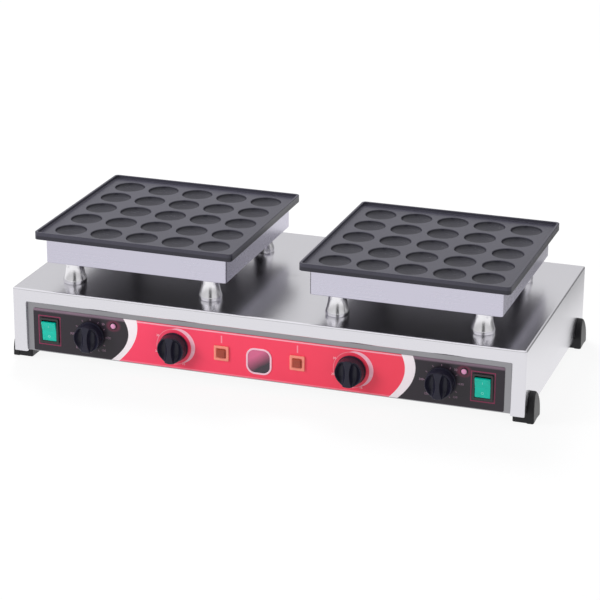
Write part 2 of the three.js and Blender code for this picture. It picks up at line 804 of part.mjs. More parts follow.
function addSwitch(machine, name, x) {
  const housingY = overlayY - seatGap;
  faceForward(place(machine, `${name}_housing`, switchGeometry(), blackPlastic, x, housingY, controlsZ));
  const pivotY = housingY + pivotSink;
  const rocker = place(machine, `${name}_rocker`, rockerGeometry(), greenLens, x, pivotY, controlsZ);
  faceForward(rocker);
  rocker.rotation.x += THREE.MathUtils.degToRad(rockerTilt);
}

function addControls(machine) {
  const lampY = overlayY - seatGap;
  ['left', 'right'].forEach((side, i) => {
    addControl(machine, `${side}_thermostat`, thermostatGeometry(), [-thermostatX, thermostatX][i]);
    addControl(machine, `${side}_timer`, timerGeometry(), [-timerX, timerX][i]);
    addSwitch(machine, `${side}_switch`, switchPlaces[i]);
    faceForward(place(machine, `${side}_pilot_lamp`, pilotGeometry(), amberLens, [leftPilotX, rightPilotX][i],
      lampY, controlsZ));
    faceForward(place(machine, `${side}_indicator_lamp`, indicatorGeometry(), pinkLens, indicatorPlaces[i],
      lampY, casingBottom + indicatorHeight));
  });
}

// One baking head on its legs, from the deck up
function addHead(machine, name, x) {
  const head = new THREE.Group();
  head.position.set(x, -headSetback, 0);
  machine.add(head);
  legPlaces.forEach(([legAtX, legAtY], i) => {
    const corner = ['front_left', 'front_right', 'rear_left', 'rear_right'][i];
    const legZ = casingTop + seatGap / 2;
    place(head, `${name}_leg_${corner}`, legGeometry(), polishedSteel, legAtX, legAtY, legZ);
    place(head, `${name}_bolt_${corner}`, boltGeometry(), plainSteel, legAtX, legAtY,
      casingTop - sheetGauge - seatGap);
  });
  place(head, `${name}_lead_sleeve`, sleeveGeometry(), polishedSteel, sleeveX, sleeveY, casingTop + seatGap);
  place(head, `${name}_tray`, trayGeometry(), darkPan, 0, 0, skirtBottom);
  place(head, `${name}_skirt`, skirtGeometry(), brushedSteel, 0, 0, skirtBottom);
  const elementZ = skirtTop - plateBlockDepth - seatGap - elementRadius;
  const clampZ = elementZ - elementRadius - seatGap - clampThickness;
  const woolZ = skirtBottom + sheetGauge + seatGap;
  place(head, `${name}_insulation`, drilledSquare(clampZ - seatGap - woolZ), mineralWool, 0, 0, woolZ);
  place(head, `${name}_clamp_plate`, drilledSquare(clampThickness), plainSteel, 0, 0, clampZ);
  place(head, `${name}_heating_element`, elementGeometry(), plainSteel, 0, 0, elementZ);
  place(head, `${name}_baking_plate`, plateGeometry(), coatedCasting, 0, 0, skirtTop);
}

function addSupply(machine) {
  const wallY = casingDepth / 2;
  const gland = place(machine, 'cable_gland', glandGeometry(), blackPlastic, glandX, wallY + seatGap,
    casingBottom + glandHeight);
  gland.rotation.x = -quarter;
  place(machine, 'terminal_block', terminalGeometry(), paleCeramic, glandX,
    wallY - sheetGauge - terminalWallGap - terminalDepth / 2, casingBottom + sheetGauge + seatGap);
}

const machine = new THREE.Group();
addBase(machine);
addControls(machine);
addHead(machine, 'left', -headSpacing / 2);
addHead(machine, 'right', headSpacing / 2);
addSupply(machine);

// The outline's middle lies between the knobs' faces and the gland's mouth
const frontReach = knobHeight + knobStandOff + overlayThickness - returnDepth;
const rearReach = glandHexLength + glandDomeLength + seatGap;
machine.position.y = (frontReach - rearReach) / 2;

const grill = new THREE.Group();
grill.add(machine);

export default grill;
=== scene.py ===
"""Twin electric mini pancake grill: fine surfaces and finishes around its fixed frame.

Metres, +Z up. The control panel faces -Y. Every place and size is read from the frame or from the
properties below.
"""

import json
import math
from types import SimpleNamespace

import bmesh
import bpy
import numpy as np
from bpy.props import FloatProperty, FloatVectorProperty, PointerProperty
from mathutils import Matrix, Vector


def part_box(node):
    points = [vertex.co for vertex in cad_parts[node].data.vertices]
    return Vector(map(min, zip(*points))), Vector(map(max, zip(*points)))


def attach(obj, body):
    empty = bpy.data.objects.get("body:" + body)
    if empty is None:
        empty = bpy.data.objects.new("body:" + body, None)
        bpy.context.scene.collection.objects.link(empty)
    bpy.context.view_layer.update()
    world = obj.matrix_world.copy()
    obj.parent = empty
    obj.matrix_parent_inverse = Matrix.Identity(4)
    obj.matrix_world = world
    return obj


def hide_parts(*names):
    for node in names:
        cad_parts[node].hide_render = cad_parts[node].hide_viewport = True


bl_info = {
    "name": "Mini Pancake Grill",
    "version": (1, 0, 0),
    "blender": (4, 5, 0),
    "location": "View3D > Sidebar > Grill",
    "description": "Builds the surfaces and finishes of a twin mini pancake grill around its frame",
    "category": "Object",
}

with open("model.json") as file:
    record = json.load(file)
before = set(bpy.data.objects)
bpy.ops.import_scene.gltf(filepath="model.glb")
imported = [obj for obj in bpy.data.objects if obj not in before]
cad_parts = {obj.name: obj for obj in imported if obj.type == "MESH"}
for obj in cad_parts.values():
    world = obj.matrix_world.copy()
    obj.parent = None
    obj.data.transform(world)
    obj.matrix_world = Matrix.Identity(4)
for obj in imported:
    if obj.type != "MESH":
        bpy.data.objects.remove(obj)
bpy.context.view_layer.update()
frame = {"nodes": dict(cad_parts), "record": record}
MM = 0.001
SIDES = ("left", "right")
CORNERS = ("front_left", "front_right", "rear_left", "rear_right")
FACE_FORWARD = Matrix.Rotation(math.pi / 2, 4, "X")
FACE_BACK = Matrix.Rotation(-math.pi / 2, 4, "X")
WELD = 2e-6
WEIGHTED = ("WEIGHTED_NORMAL", {"keep_sharp": True})
WELLS_ACROSS = 5
WELL_STEPS = 64
ROCKER_TILT = math.radians(8)
# The turn of each kind of dial in degrees, and its numbers.
DIALS = {"thermostat": (270, ("0", "50", "100", "150", "200", "250", "300")),
         "timer": (300, ("0", "5", "10", "15", "20", "25", "30"))}
# The curved ends of the pale and red fields, from left to right, in millimetres: tip, level and bend.
FIELD_EDGES = ((-202.0, 45.0, 0.0150), (-188.0, 57.0, 0.0098),
               (209.0, 46.0, 0.0118), (224.0, 49.0, 0.0115))
# Widths in millimetres over which printed edges fade.
SOFT, FINE, CRISP = 0.5, 0.4, 0.3


def size(name, default_mm, words):
    """A length property, given in millimetres and kept in metres."""
    return FloatProperty(name=name, description=words, default=default_mm * MM, unit="LENGTH", precision=4)


def colour(name, default, words):
    """A colour property in linear red, green and blue."""
    return FloatVectorProperty(name=name, description=words, default=default, subtype="COLOR", size=3,
                               min=0.0, max=1.0)


def linear(red, green, blue):
    """The linear colour of a screen colour whose parts run from 0 to 255."""
    return tuple(((v / 255 + 0.055) / 1.055) ** 2.4 for v in (red, green, blue))


class PlateSizes(bpy.types.PropertyGroup):
    """Sizes of the baking plates and the boxes under them."""
    rim_height: size("Rim height", 4.5, "Height of the rim above the baking surface")
    rim_width: size("Rim width", 3.5, "Width of the rim's top")
    slab: size("Slab", 6.7, "Thickness of the plate between its wells")
    well_pitch: size("Well pitch", 55, "Distance from one well's middle to the next")
    well_radius: size("Well radius", 24, "Radius of a well where it meets the baking surface")
    well_depth: size("Well depth", 7.5, "Depth of a well at its middle")
    well_lip: size("Well lip", 1.6, "Rounding where a well meets the baking surface")
    corner: size("Corner", 6, "Rounding of the plate's corners, seen from above")
    edge: size("Edge", 0.8, "Rounding of the rim's edges")
    block_half: size("Block half width", 135.5, "Half the width of the block that drops into the box")
    rim_root: size("Rim root", 1.3, "Fillet between the baking surface and the rim")
    rim_inner: size("Rim inner edge", 0.7, "Rounding of the rim's inner edge")
    sheet: size("Sheet", 1.5, "Thickness of the steel sheet")
    box_corner: size("Box corner", 4, "Bend radius of the box's upright corners")
    box_fold: size("Box fold", 1.2, "Rounding of the box's lower edge")
    cut_edge: size("Cut edge", 0.3, "Rounding of cut edges")


class BaseSizes(bpy.types.PropertyGroup):
    """Sizes of the casing, the feet, the legs and the gland."""
    foot_height: size("Foot height", 15, "Height of the casing above the worktop")
    front_frame: size("Front frame", 20.5, "Width of the casing's frame round the panel")
    return_depth: size("Return", 5, "Depth of the fold behind that frame")
    bend: size("Bend", 2.6, "Outer radius of the casing's bends")
    leg_top: size("Leg top radius", 13, "Radius of a leg's straight neck")
    leg_base: size("Leg base radius", 17.2, "Radius of a leg's foot")
    leg_neck: size("Leg neck", 9, "Length of a leg's straight neck")
    leg_lip: size("Leg lip", 4.5, "Height of the straight lip at a leg's foot")
    leg_bore: size("Leg bore", 4.3, "Radius of the hole that the leg's bolt runs through")
    leg_edge: size("Leg edge", 0.5, "Rounding of a leg's turned edges")
    sleeve_wall: size("Sleeve wall", 2.5, "Wall of the sleeves that take the leads")
    sleeve_edge: size("Sleeve edge", 0.4, "Rounding of a sleeve's edges")
    foot_inset: size("Foot inset", 20.5, "How far a foot reaches in under the casing")
    foot_proud: size("Foot proud", 10, "How far a foot's cheek stands out beside the casing")
    foot_shoulder: size("Foot shoulder", 9, "Level where a cheek's upright sides turn into its arch")
    foot_crest: size("Foot crest", 3.6, "How far a cheek still stands out at its top")
    foot_edge: size("Foot edge", 2.4, "Rounding of a cheek's outer edge")
    foot_ease: size("Foot ease", 7, "How far a cheek's rounded top stays below the foot's full height")
    foot_gap: size("Foot gap", 0.3, "Gap between a foot's cheek and the casing")
    foot_overlap: size("Foot overlap", 4, "How far a foot's pad reaches into its cheek")
    foot_corner: size("Foot corner", 2.5, "Rounding of a pad's upright edges")
    gland_bore: size("Gland bore", 5, "Radius of the hole for the supply cord")
    gland_thread: size("Gland thread", 10, "Radius of the gland's threaded part")
    gland_flat: size("Gland flat", 12.1, "Distance from the gland's axis to a hexagon's flat")
    gland_nut: size("Gland nut", 6, "Length of the hexagon outside the wall")
    gland_gap: size("Gland gap", 0.2, "Gap between the gland and the wall")


class ControlSizes(bpy.types.PropertyGroup):
    """Sizes of the knobs, switches, lamps and print on the control panel."""
    knob_skirt: size("Knob skirt radius", 21.5, "Radius of the skirt next to the panel")
    knob_skirt_height: size("Knob skirt height", 3, "Height of the skirt")
    skirt_edge: size("Knob skirt edge", 0.4, "Rounding of the skirt's edge")
    skirt_root: size("Knob skirt root", 0.7, "Rounding of the skirt's front edge")
    knob_body: size("Knob body radius", 20.5, "Radius of the knob's body above its skirt")
    knob_face: size("Knob face radius", 19.5, "Radius of the knob's body at its front")
    knob_height: size("Knob height", 20, "Height of the grip")
    knob_edge: size("Knob edge", 1.1, "Rounding of the knob's front edge")
    grip_width: size("Grip width", 6, "Width of the grip at its waist")
    grip_edge: size("Grip edge", 0.9, "Rounding of the grip's front edges")
    waist_radius: size("Waist radius", 45, "Radius of the two curves that draw the grip in")
    scoop_half: size("Scoop half width", 8, "Distance from the grip to a scoop's lowest line")
    scoop_floor: size("Scoop floor", 9.5, "Level of that line")
    scoop_rise: size("Scoop rise", 3, "How far a scoop rises again towards the rim")
    controls_height: size("Controls height", 50, "Height of the knobs' axes above the worktop")
    pivot_depth: size("Rocker pivot", -180.75, "Y of the rockers' pins")
    rocker_width: size("Rocker width", 22, "Width of a rocker")
    rocker_height: size("Rocker height", 29, "Height of a rocker")
    rocker_crest: size("Rocker crest", 5, "Height of the valley between a rocker's faces over its pin")
    bezel: size("Switch bezel", 2, "How far a switch's bezel stands out round its box")
    bezel_thickness: size("Bezel thickness", 2.2, "Thickness of a switch's bezel")
    switch_wall: size("Switch wall", 1.5, "Wall of a switch's box")
    switch_floor: size("Switch floor", 10, "Depth of the pocket that a rocker tips in")
    switch_blade: size("Switch blade", 9, "Length of the blades behind a switch's box")
    rocker_valley: size("Rocker valley", 2.5, "How soft the valley between a rocker's faces is")
    rocker_heel: size("Rocker heel", 4, "Depth of a rocker's heel behind its pin and its ends")
    heel_half: size("Rocker heel half width", 6, "Half the length of the heel's flat")
    rocker_edge: size("Rocker edge", 0.7, "Rounding of a rocker's edges")
    lens_width: size("Lamp lens", 13, "Width of a square lamp's lens")
    lens_rise: size("Lamp lens rise", 2.2, "How far that lens stands out of its frame")
    lamp_frame: size("Lamp frame", 2, "Thickness of a square lamp's frame")
    lamp_barrel: size("Lamp barrel", 22, "Length of every lamp's barrel behind the panel")
    square_barrel: size("Square lamp barrel", 5.5, "Radius of a square lamp's barrel")
    round_lamp: size("Round lamp", 3.8, "Radius of a round lamp's barrel and dome")
    round_rim: size("Round lamp rim", 1.2, "Thickness of a round lamp's bezel")
    round_bezel: size("Round lamp bezel", 5.4, "Outer radius of that bezel")
    badge_x: size("Badge place", -4, "How far the badge lies to the right of the middle")
    badge_z: size("Badge level", 44.5, "Height of the badge's middle above the worktop")
    badge_width: size("Badge width", 38, "Width of the blank badge")
    badge_height: size("Badge height", 39, "Height of the blank badge")
    badge_corner: size("Badge corner", 13, "Rounding of the badge's corners")
    badge_frame: size("Badge frame", 2.6, "Width of the badge's frame")
    badge_rise: size("Badge rise", 0.9, "Height of the badge's frame over the print")
    dial_radius: size("Dial radius", 28.5, "Radius of the circle that the dial numbers stand on")
    number_height: size("Number height", 3.2, "Height of the dial numbers")
    ink: size("Ink", 0.06, "Thickness of the printed numbers")


class PrintSizes(bpy.types.PropertyGroup):
    """Sizes of the print on the overlay; levels are above the casing's bottom."""
    line_top: size("Line top", 66.6, "Upper edge of the thin line along the red field's top")
    line_foot: size("Line foot", 64.6, "Lower edge of that line")
    hem_top: size("Hem top", 4.6, "Upper edge of the thin line along the red field's foot")
    hem_foot: size("Hem foot", 3.2, "Lower edge of that line")
    band: size("Band", 63.5, "Level from which the black ends are mauve")
    band_soft: size("Band softness", 2.5, "Height over which that mauve sets in")
    fade: size("Fade", 500, "Length over which the red gets warmer towards the right")
    ring: size("Ring", 26, "Inner radius of the rings and crescents round the timers")
    crescent: size("Crescent", 6, "Greatest width of a crescent")
    tick_start: size("Tick start", 23.2, "Radius where a thermostat's dial marks start")
    tick_end: size("Tick end", 26, "Radius where they end")
    frame_half_width: size("Switch frame half width", 17.5, "Half the width of a switch's printed frame")
    frame_half_height: size("Switch frame half height", 22.5, "Half its height")
    frame_line: size("Switch frame line", 1.6, "Width of its line")
    bar_half: size("Bar half width", 1, "Half the width of the bar over a square lamp")
    bar_foot: size("Bar foot", 50, "Lower end of that bar")
    bar_top: size("Bar top", 61, "Upper end of that bar")
    spot: size("Spot", 9.5, "Radius of the soft spot round a round lamp")
    spot_fade: size("Spot fade", 6, "Width over which that spot fades out")


class GrillColours(bpy.types.PropertyGroup):
    """Colours of the finishes."""
    steel: colour("Steel", (0.765, 0.755, 0.80), "Satin stainless sheet of the casing")
    # The boxes' steel is the casing's steel painted darker: painted shade on the boxes.
    box_steel: colour("Box steel", (0.627, 0.608, 0.712), "Satin stainless sheet of the boxes")
    polished: colour("Polished steel", (0.90, 0.89, 0.92), "Turned and polished legs")
    coat: colour("Plate coat", (0.027, 0.026, 0.036), "Dark non-stick coat")
    black: colour("Black plastic", (0.008, 0.008, 0.0095), "Switches, feet and gland")
    knob: colour("Knob plastic", (0.0128, 0.012, 0.0247), "Bluish black of the knobs")
    print_red: colour("Print red", linear(253, 66, 103), "Middle of the printed overlay")
    print_black: colour("Print black", linear(38, 31, 40), "Ends of the printed overlay")
    print_pale: colour("Print pale", linear(250, 240, 244), "Crescents between red and black")
    print_pink: colour("Print pink", linear(252, 186, 202), "Thin lines and rings on the red print")
    print_magenta: colour("Print magenta", linear(132, 40, 76), "Frames round the switches")
    print_mauve: colour("Print mauve", linear(138, 114, 130), "Band along the top of the black ends")
    tick_ink: colour("Tick ink", linear(150, 118, 140), "Dial marks on the black ends")
    dial_ink: colour("Dial ink", linear(150, 120, 140), "Numbers on the black ends")
    timer_ink: colour("Timer ink", linear(250, 206, 214), "Numbers on the red print")
    switch_ink: colour("Switch ink", linear(122, 214, 200), "Marks on the rockers")
    badge_pale: colour("Badge frame", linear(236, 190, 204), "Frame of the badge")
    badge_light: colour("Badge light", linear(214, 96, 138), "Upper left of the badge's field")
    badge_dark: colour("Badge dark", linear(38, 24, 40), "Lower right of the badge's field")
    green: colour("Green lens", linear(0, 178, 156), "Rockers")
    amber: colour("Amber lens", linear(158, 66, 50), "Square lamps")
    cream: colour("Lamp frame", linear(240, 142, 124), "Frames of the square lamps")
    pink: colour("Pink lens", linear(196, 134, 168), "Round lamps")


def sizes(context):
    """The sizes of the plates, of the base and of the controls."""
    return context.scene.grill_plate, context.scene.grill_base, context.scene.grill_controls


def in_millimetres(group):
    """The lengths of a property group as numbers of millimetres, by name."""
    return SimpleNamespace(**{name: getattr(group, name) / MM for name in group.__annotations__})


def span(node):
    """Lowest and highest corner of a frame node, as two arrays."""
    low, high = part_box(node)
    return np.array(low), np.array(high)


def centre(node):
    """The middle of a frame node's box."""
    return sum(span(node)) / 2


def body_with(node):
    """The body that a frame node belongs to."""
    bodies = frame["record"]["behaviour"]["bodies"]
    return next(body for body, nodes in bodies.items() if node in nodes)


def grid_faces(rows, columns, close_rows=False, close_columns=False):
    """Four-sided faces of a grid of points; a closed direction joins its last line to its first."""
    row = np.arange(rows if close_rows else rows - 1)[:, None]
    column = np.arange(columns if close_columns else columns - 1)[None, :]
    next_row = (row + 1) % rows
    next_column = (column + 1) % columns
    quads = [row * columns + column, row * columns + next_column,
             next_row * columns + next_column, next_row * columns + column]
    return np.stack(np.broadcast_arrays(*quads), axis=-1).reshape(-1, 4)


def filleted(corners, radii, steps=5):
    """A run of corners, each rounded by its radius.

    The arc's middle lies on the corner's bisector at radius / sin(half the corner), and the arc is
    drawn by spherical interpolation between the two points where it touches the sides.
    """
    corners = [np.array(c, float) for c in corners]
    share = np.linspace(0, 1, steps + 1)[:, None]
    points = [corners[0][None]]
    for before, here, after, radius in zip(corners, corners[1:], corners[2:], radii):
        if radius <= 0:
            points.append(here[None])
            continue
        back = (before - here) / np.linalg.norm(before - here)
        ahead = (after - here) / np.linalg.norm(after - here)
        half = math.acos(np.clip(back @ ahead, -1, 1)) / 2
        middle = here + (back + ahead) / np.linalg.norm(back + ahead) * radius / math.sin(half)
        start = here + back * radius / math.tan(half) - middle
        end = here + ahead * radius / math.tan(half) - middle
        sweep = math.pi - 2 * half
        points.append(middle + (np.sin((1 - share) * sweep) * start + np.sin(share * sweep) * end)
                      / math.sin(sweep))
    points.append(corners[-1][None])
    return np.concatenate(points)


def rounded_rings(half_x, half_y, radius, corner_points=9):
    """Rounded rectangles, one for each row: four quarter circles about (+-(half_x - r), +-(half_y - r))."""
    half_x, half_y, radius = np.broadcast_arrays(*(np.atleast_1d(v).astype(float)
                                                   for v in (half_x, half_y, radius)))
    half_x, half_y, radius = half_x[:, None], half_y[:, None], radius[:, None]
    quarter = np.arange(4)[:, None]
    angle = (np.linspace(0, math.pi / 2, corner_points) + quarter * math.pi / 2).ravel()
    side_x = np.repeat([1, -1, -1, 1], corner_points)
    side_y = np.repeat([1, 1, -1, -1], corner_points)
    x = side_x * (half_x - radius) + radius * np.cos(angle)
    y = side_y * (half_y - radius) + radius * np.sin(angle)
    return np.stack([x, y], axis=-1)


def stacked(rings, levels):
    """Rings of plane points raised to their levels: (rows, columns, 3) points."""
    levels = np.broadcast_to(np.asarray(levels, float)[:, None], rings.shape[:2])
    return np.concatenate([rings, levels[..., None]], axis=-1)


def tube(points, close_rows=False):
    """A grid of closed rings as (points, blocks of faces)."""
    rows, columns = points.shape[:2]
    return points.reshape(-1, 3), [grid_faces(rows, columns, close_rows, True)]


def capped(points):
    """A grid of closed rings whose first and last rings are filled flat, as (points, blocks of faces)."""
    flat, blocks = tube(points)
    rows, columns = points.shape[:2]
    ends = np.arange(columns) + np.array([[0], [(rows - 1) * columns]])
    return flat, [*blocks, ends]


def lathe(profile, steps=64, close=False, polygon=None):
    """A profile of (radius, level) turned about Z: x = r cos t, y = r sin t.

    Where polygon gives a number of sides for a row, that row's radius is cut back to the polygon
    whose flats touch the circle of its third value: flat / cos(t mod side - half a side).
    """
    profile = np.asarray(profile, float)
    turn = np.arange(steps) * 2 * math.pi / steps
    radius = np.repeat(profile[:, :1], steps, axis=1)
    if polygon is not None:
        side = 2 * math.pi / polygon
        flats = profile[:, 2:3] / np.cos(np.mod(turn, side) - side / 2)[None, :]
        radius = np.where(profile[:, 2:3] > 0, np.minimum(radius, flats), radius)
    rings = np.stack([radius * np.cos(turn), radius * np.sin(turn)], axis=-1)
    return tube(stacked(rings, profile[:, 1]), close)


def moved(part, matrix):
    """A part with its points carried by a 4 by 4 matrix."""
    points, blocks = part
    turn = np.array(matrix.to_3x3())
    return points @ turn.T + np.array(matrix.translation), blocks


def joined_mesh(name, parts):
    """One mesh of several parts: points that meet are welded, and faces are turned outwards."""
    mesh = bpy.data.meshes.new(name)
    points, faces, start = [], [], 0
    for part_points, blocks in parts:
        points.append(part_points)
        for block in blocks:
            faces += (block + start).tolist()
        start += len(part_points)
    mesh.from_pydata(np.concatenate(points).tolist(), [], faces)
    work = bmesh.new()
    work.from_mesh(mesh)
    bmesh.ops.remove_doubles(work, verts=work.verts, dist=WELD)
    bmesh.ops.dissolve_degenerate(work, edges=work.edges, dist=WELD)
    bmesh.ops.recalc_face_normals(work, faces=work.faces)
    work.to_mesh(mesh)
    work.free()
    return mesh


def make_piece(name, parts, finish, ride_on="root", stands_for=(), sharp=35, shaped=()):
    """One object at the origin, smooth below the sharp angle, that rides its body.

    The modifiers in shaped come as pairs of a kind and its settings. Weighted normals keep flat faces
    flat beside their roundings.
    """
    mesh = joined_mesh(name, parts)
    mesh.shade_smooth()
    mesh.set_sharp_from_angle(angle=math.radians(sharp))
    mesh.materials.append(finish.material)
    piece = bpy.data.objects.new(name, mesh)
    bpy.context.scene.collection.objects.link(piece)
    for kind, settings in (*shaped, WEIGHTED):
        add_modifier(piece, kind, settings)
    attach(piece, body_with(stands_for[0]) if stands_for else ride_on)
    if stands_for:
        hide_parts(*stands_for)
    return piece


def add_modifier(piece, kind, settings):
    """A modifier with its settings."""
    modifier = piece.modifiers.new(kind.title(), kind)
    for key, value in settings.items():
        setattr(modifier, key, value)


def rounding(width, segments, angle):
    """The settings of a bevel on edges that turn by more than the angle."""
    return "BEVEL", {"width": width, "segments": segments, "limit_method": "ANGLE",
                     "angle_limit": math.radians(angle), "offset_type": "OFFSET"}


def fused(piece, part, sharp):
    """Joins another closed part into the piece's solid."""
    helper = bpy.data.objects.new("helper", joined_mesh("helper", [part]))
    bpy.context.scene.collection.objects.link(helper)
    piece.modifiers.clear()
    add_modifier(piece, "BOOLEAN", {"operation": "UNION", "solver": "EXACT", "object": helper})
    graph = bpy.context.evaluated_depsgraph_get()
    whole = bpy.data.meshes.new_from_object(piece.evaluated_get(graph), depsgraph=graph)
    piece.modifiers.clear()
    old, piece.data = piece.data, whole
    whole.name = piece.name
    bpy.data.meshes.remove(old)
    bpy.data.meshes.remove(helper.data)
    whole.shade_smooth()
    whole.set_sharp_from_angle(angle=math.radians(sharp))
    add_modifier(piece, *WEIGHTED)


def lettering(text, height, middle_x, middle_z, plane_y, thickness):
    """Characters as a thin solid on the panel, read from the front, as one part."""
    figure_share = 0.7
    curve = bpy.data.curves.new("lettering", "FONT")
    curve.body = text
    curve.size = height / figure_share
    curve.extrude = thickness / 2
    curve.resolution_u = 3
    curve.align_x = "CENTER"
    curve.align_y = "CENTER"
    holder = bpy.data.objects.new("lettering", curve)
    bpy.context.scene.collection.objects.link(holder)
    graph = bpy.context.evaluated_depsgraph_get()
    mesh = bpy.data.meshes.new_from_object(holder.evaluated_get(graph), depsgraph=graph)
    points = np.empty(len(mesh.vertices) * 3)
    mesh.vertices.foreach_get("co", points)
    corners = np.empty(len(mesh.loop_triangles) * 3, dtype=int)
    mesh.loop_triangles.foreach_get("vertices", corners)
    bpy.data.objects.remove(holder)
    bpy.data.curves.remove(curve)
    bpy.data.meshes.remove(mesh)
    place = Matrix.Translation((middle_x, plane_y - thickness / 2, middle_z)) @ FACE_FORWARD
    return moved((points.reshape(-1, 3), [corners.reshape(-1, 3)]), place)


class Wire:
    """A value in a material: arithmetic on it adds Math nodes."""

    def __init__(self, finish, socket):
        self.finish = finish
        self.socket = socket

    def math(self, operation, *values, clamp=False):
        """The result of a Math node on this value and the others."""
        settings = {"operation": operation, "use_clamp": clamp}
        return self.finish.node("Math", settings, dict(enumerate((self, *values))))

    def __add__(self, other):
        return self.math("ADD", other)

    def __radd__(self, other):
        return self.math("ADD", other)

    def __sub__(self, other):
        return self.math("SUBTRACT", other)

    def __rsub__(self, other):
        return (self * -1) + other

    def __mul__(self, other):
        return self.math("MULTIPLY", other)

    def __rmul__(self, other):
        return self.math("MULTIPLY", other)

    def __truediv__(self, other):
        return self.math("DIVIDE", other)

    def __pow__(self, other):
        return self.math("POWER", other)

    def __abs__(self):
        return self.math("ABSOLUTE")

    def most(self, other):
        """The larger of two values."""
        return self.math("MAXIMUM", other)

    def above(self, level, soft):
        """0 below the level and 1 above it, with a soft step of the given width."""
        return ((self - level) / soft).math("ADD", 0.5, clamp=True)

    def below(self, level, soft):
        """1 below the level and 0 above it."""
        return 1 - self.above(level, soft)

    def clamped(self):
        """The value kept between 0 and 1."""
        return self.math("ADD", 0.0, clamp=True)


class Nodes:
    """The node tree of a material or of the surroundings."""

    def __init__(self, owner):
        owner.use_nodes = True
        self.tree = owner.node_tree
        self.tree.nodes.clear()

    def feed(self, socket, value):
        """Links a wire to a socket, or sets the socket's own value."""
        if isinstance(value, Wire):
            self.tree.links.new(value.socket, socket)
        elif hasattr(socket.default_value, "__len__") and len(socket.default_value) == 4:
            socket.default_value = (*value[:3], 1.0)
        else:
            socket.default_value = value

    def node(self, kind, settings=None, inputs=None, output=0):
        """A node of a kind, its settings first, then the values or links of its sockets."""
        made = self.tree.nodes.new("ShaderNode" + kind)
        for key, value in (settings or {}).items():
            setattr(made, key, value)
        for key, value in (inputs or {}).items():
            self.feed(made.inputs[key], value)
        return None if output is None else Wire(self, made.outputs[output])

    def parts(self, vector):
        """The x, y and z of a vector."""
        outputs = self.node("SeparateXYZ", None, {0: vector}).socket.node.outputs
        return tuple(Wire(self, output) for output in outputs)

    def finished(self, shader, kind):
        """Leads the last shader to the tree's output."""
        self.node(kind, None, {"Surface": shader}, None)


class Finish(Nodes):
    """A material of one Principled shader, with the nodes that vary it."""

    def __init__(self, name, **constants):
        self.material = bpy.data.materials.new(name)
        super().__init__(self.material)
        surface = self.node("BsdfPrincipled")
        self.shader = surface.socket.node
        self.finished(surface, "OutputMaterial")
        for key, value in constants.items():
            self.set(key.replace("_", " "), value)

    def set(self, name, value):
        """One of the Principled shader's sockets, by its name in any case."""
        socket = next(s for s in self.shader.inputs if s.name.lower() == name.lower())
        self.feed(socket, value)
        return self

    def place(self, scale=(1, 1, 1)):
        """The object's own coordinates, scaled along each axis."""
        where = self.node("TexCoord", output="Object")
        return self.node("VectorMath", {"operation": "MULTIPLY"}, {0: where, 1: scale})

    def axes(self, scale=1.0):
        """The object's own x, y and z as three values."""
        return self.parts(self.place((scale,) * 3))

    def noise(self, scale, detail=2.0, rough=0.5):
        """Soft noise from 0 to 1; the scale is in lumps per metre, even or along each axis."""
        place = self.place(scale if isinstance(scale, tuple) else (scale,) * 3)
        return self.node("TexNoise", None, {"Vector": place, "Scale": 1.0, "Detail": detail,
                                            "Roughness": rough})

    def mix(self, factor, first, second):
        """A colour between two colours."""
        return self.node("Mix", {"data_type": "RGBA"}, {0: factor, 6: first, 7: second}, 2)

    def bump(self, height, strength, distance):
        """Small relief from a height between 0 and 1 over a distance in metres."""
        return self.set("Normal", self.node("Bump", None, {"Height": height, "Strength": strength,
                                                           "Distance": distance}))


def toned(tone, factor, lift=0.0):
    """A colour made darker or lighter, at most 1 in each part."""
    return tuple(min(1.0, v * factor + lift) for v in tone)


def sheet_steel(name, tone, roughness, turned_past=None):
    """Satin stainless sheet: long streaks across the grain vary its tone, gloss and relief.

    The grain runs along X. Where turned_past gives a distance from the middle plane, faces further out
    than that are side walls, whose grain runs along Y.
    """
    long, fine, seam = 3.0, 620.0, 0.6 * MM
    finish = Finish(name, metallic=1.0, anisotropic=0.35)
    streak = finish.noise((long, fine, fine), detail=3.0, rough=0.6)
    if turned_past is not None:
        side = finish.noise((fine, long, fine), detail=3.0, rough=0.6)
        turned = abs(finish.axes()[0]).above(turned_past, seam)
        streak = streak * (1 - turned) + side * turned
    cloud = finish.noise(9.0, detail=2.0)
    fleck = finish.noise(60.0, detail=3.0)
    finish.set("Base Color", finish.mix(streak * 0.6 + cloud * 0.4, toned(tone, 0.94), tone))
    finish.set("Roughness", streak * 0.06 + cloud * 0.05 + fleck * 0.02 + (roughness - 0.065))
    return finish.bump(streak, 0.03, 0.0001)


def polished_steel(name, tone):
    """Turned and polished steel: fine rings round the upright axis, almost a mirror."""
    finish = Finish(name, metallic=1.0)
    rings = finish.noise((12.0, 12.0, 1400.0), detail=3.0)
    cloud = finish.noise(80.0)
    finish.set("Base Color", finish.mix(cloud, toned(tone, 0.94), tone))
    finish.set("Roughness", rings * 0.06 + cloud * 0.04 + 0.17)
    return finish.bump(rings, 0.02, 0.0001)


def plain_metal(name, tone, roughness):
    """Unpolished metal with a cloudy tone, for the pieces inside and below."""
    finish = Finish(name, metallic=1.0)
    cloud = finish.noise(45.0, detail=4.0)
    finish.set("Base Color", finish.mix(cloud, toned(tone, 0.8), tone))
    finish.set("Roughness", cloud * 0.16 + (roughness - 0.08))
    return finish.bump(cloud, 0.08, 0.0002)


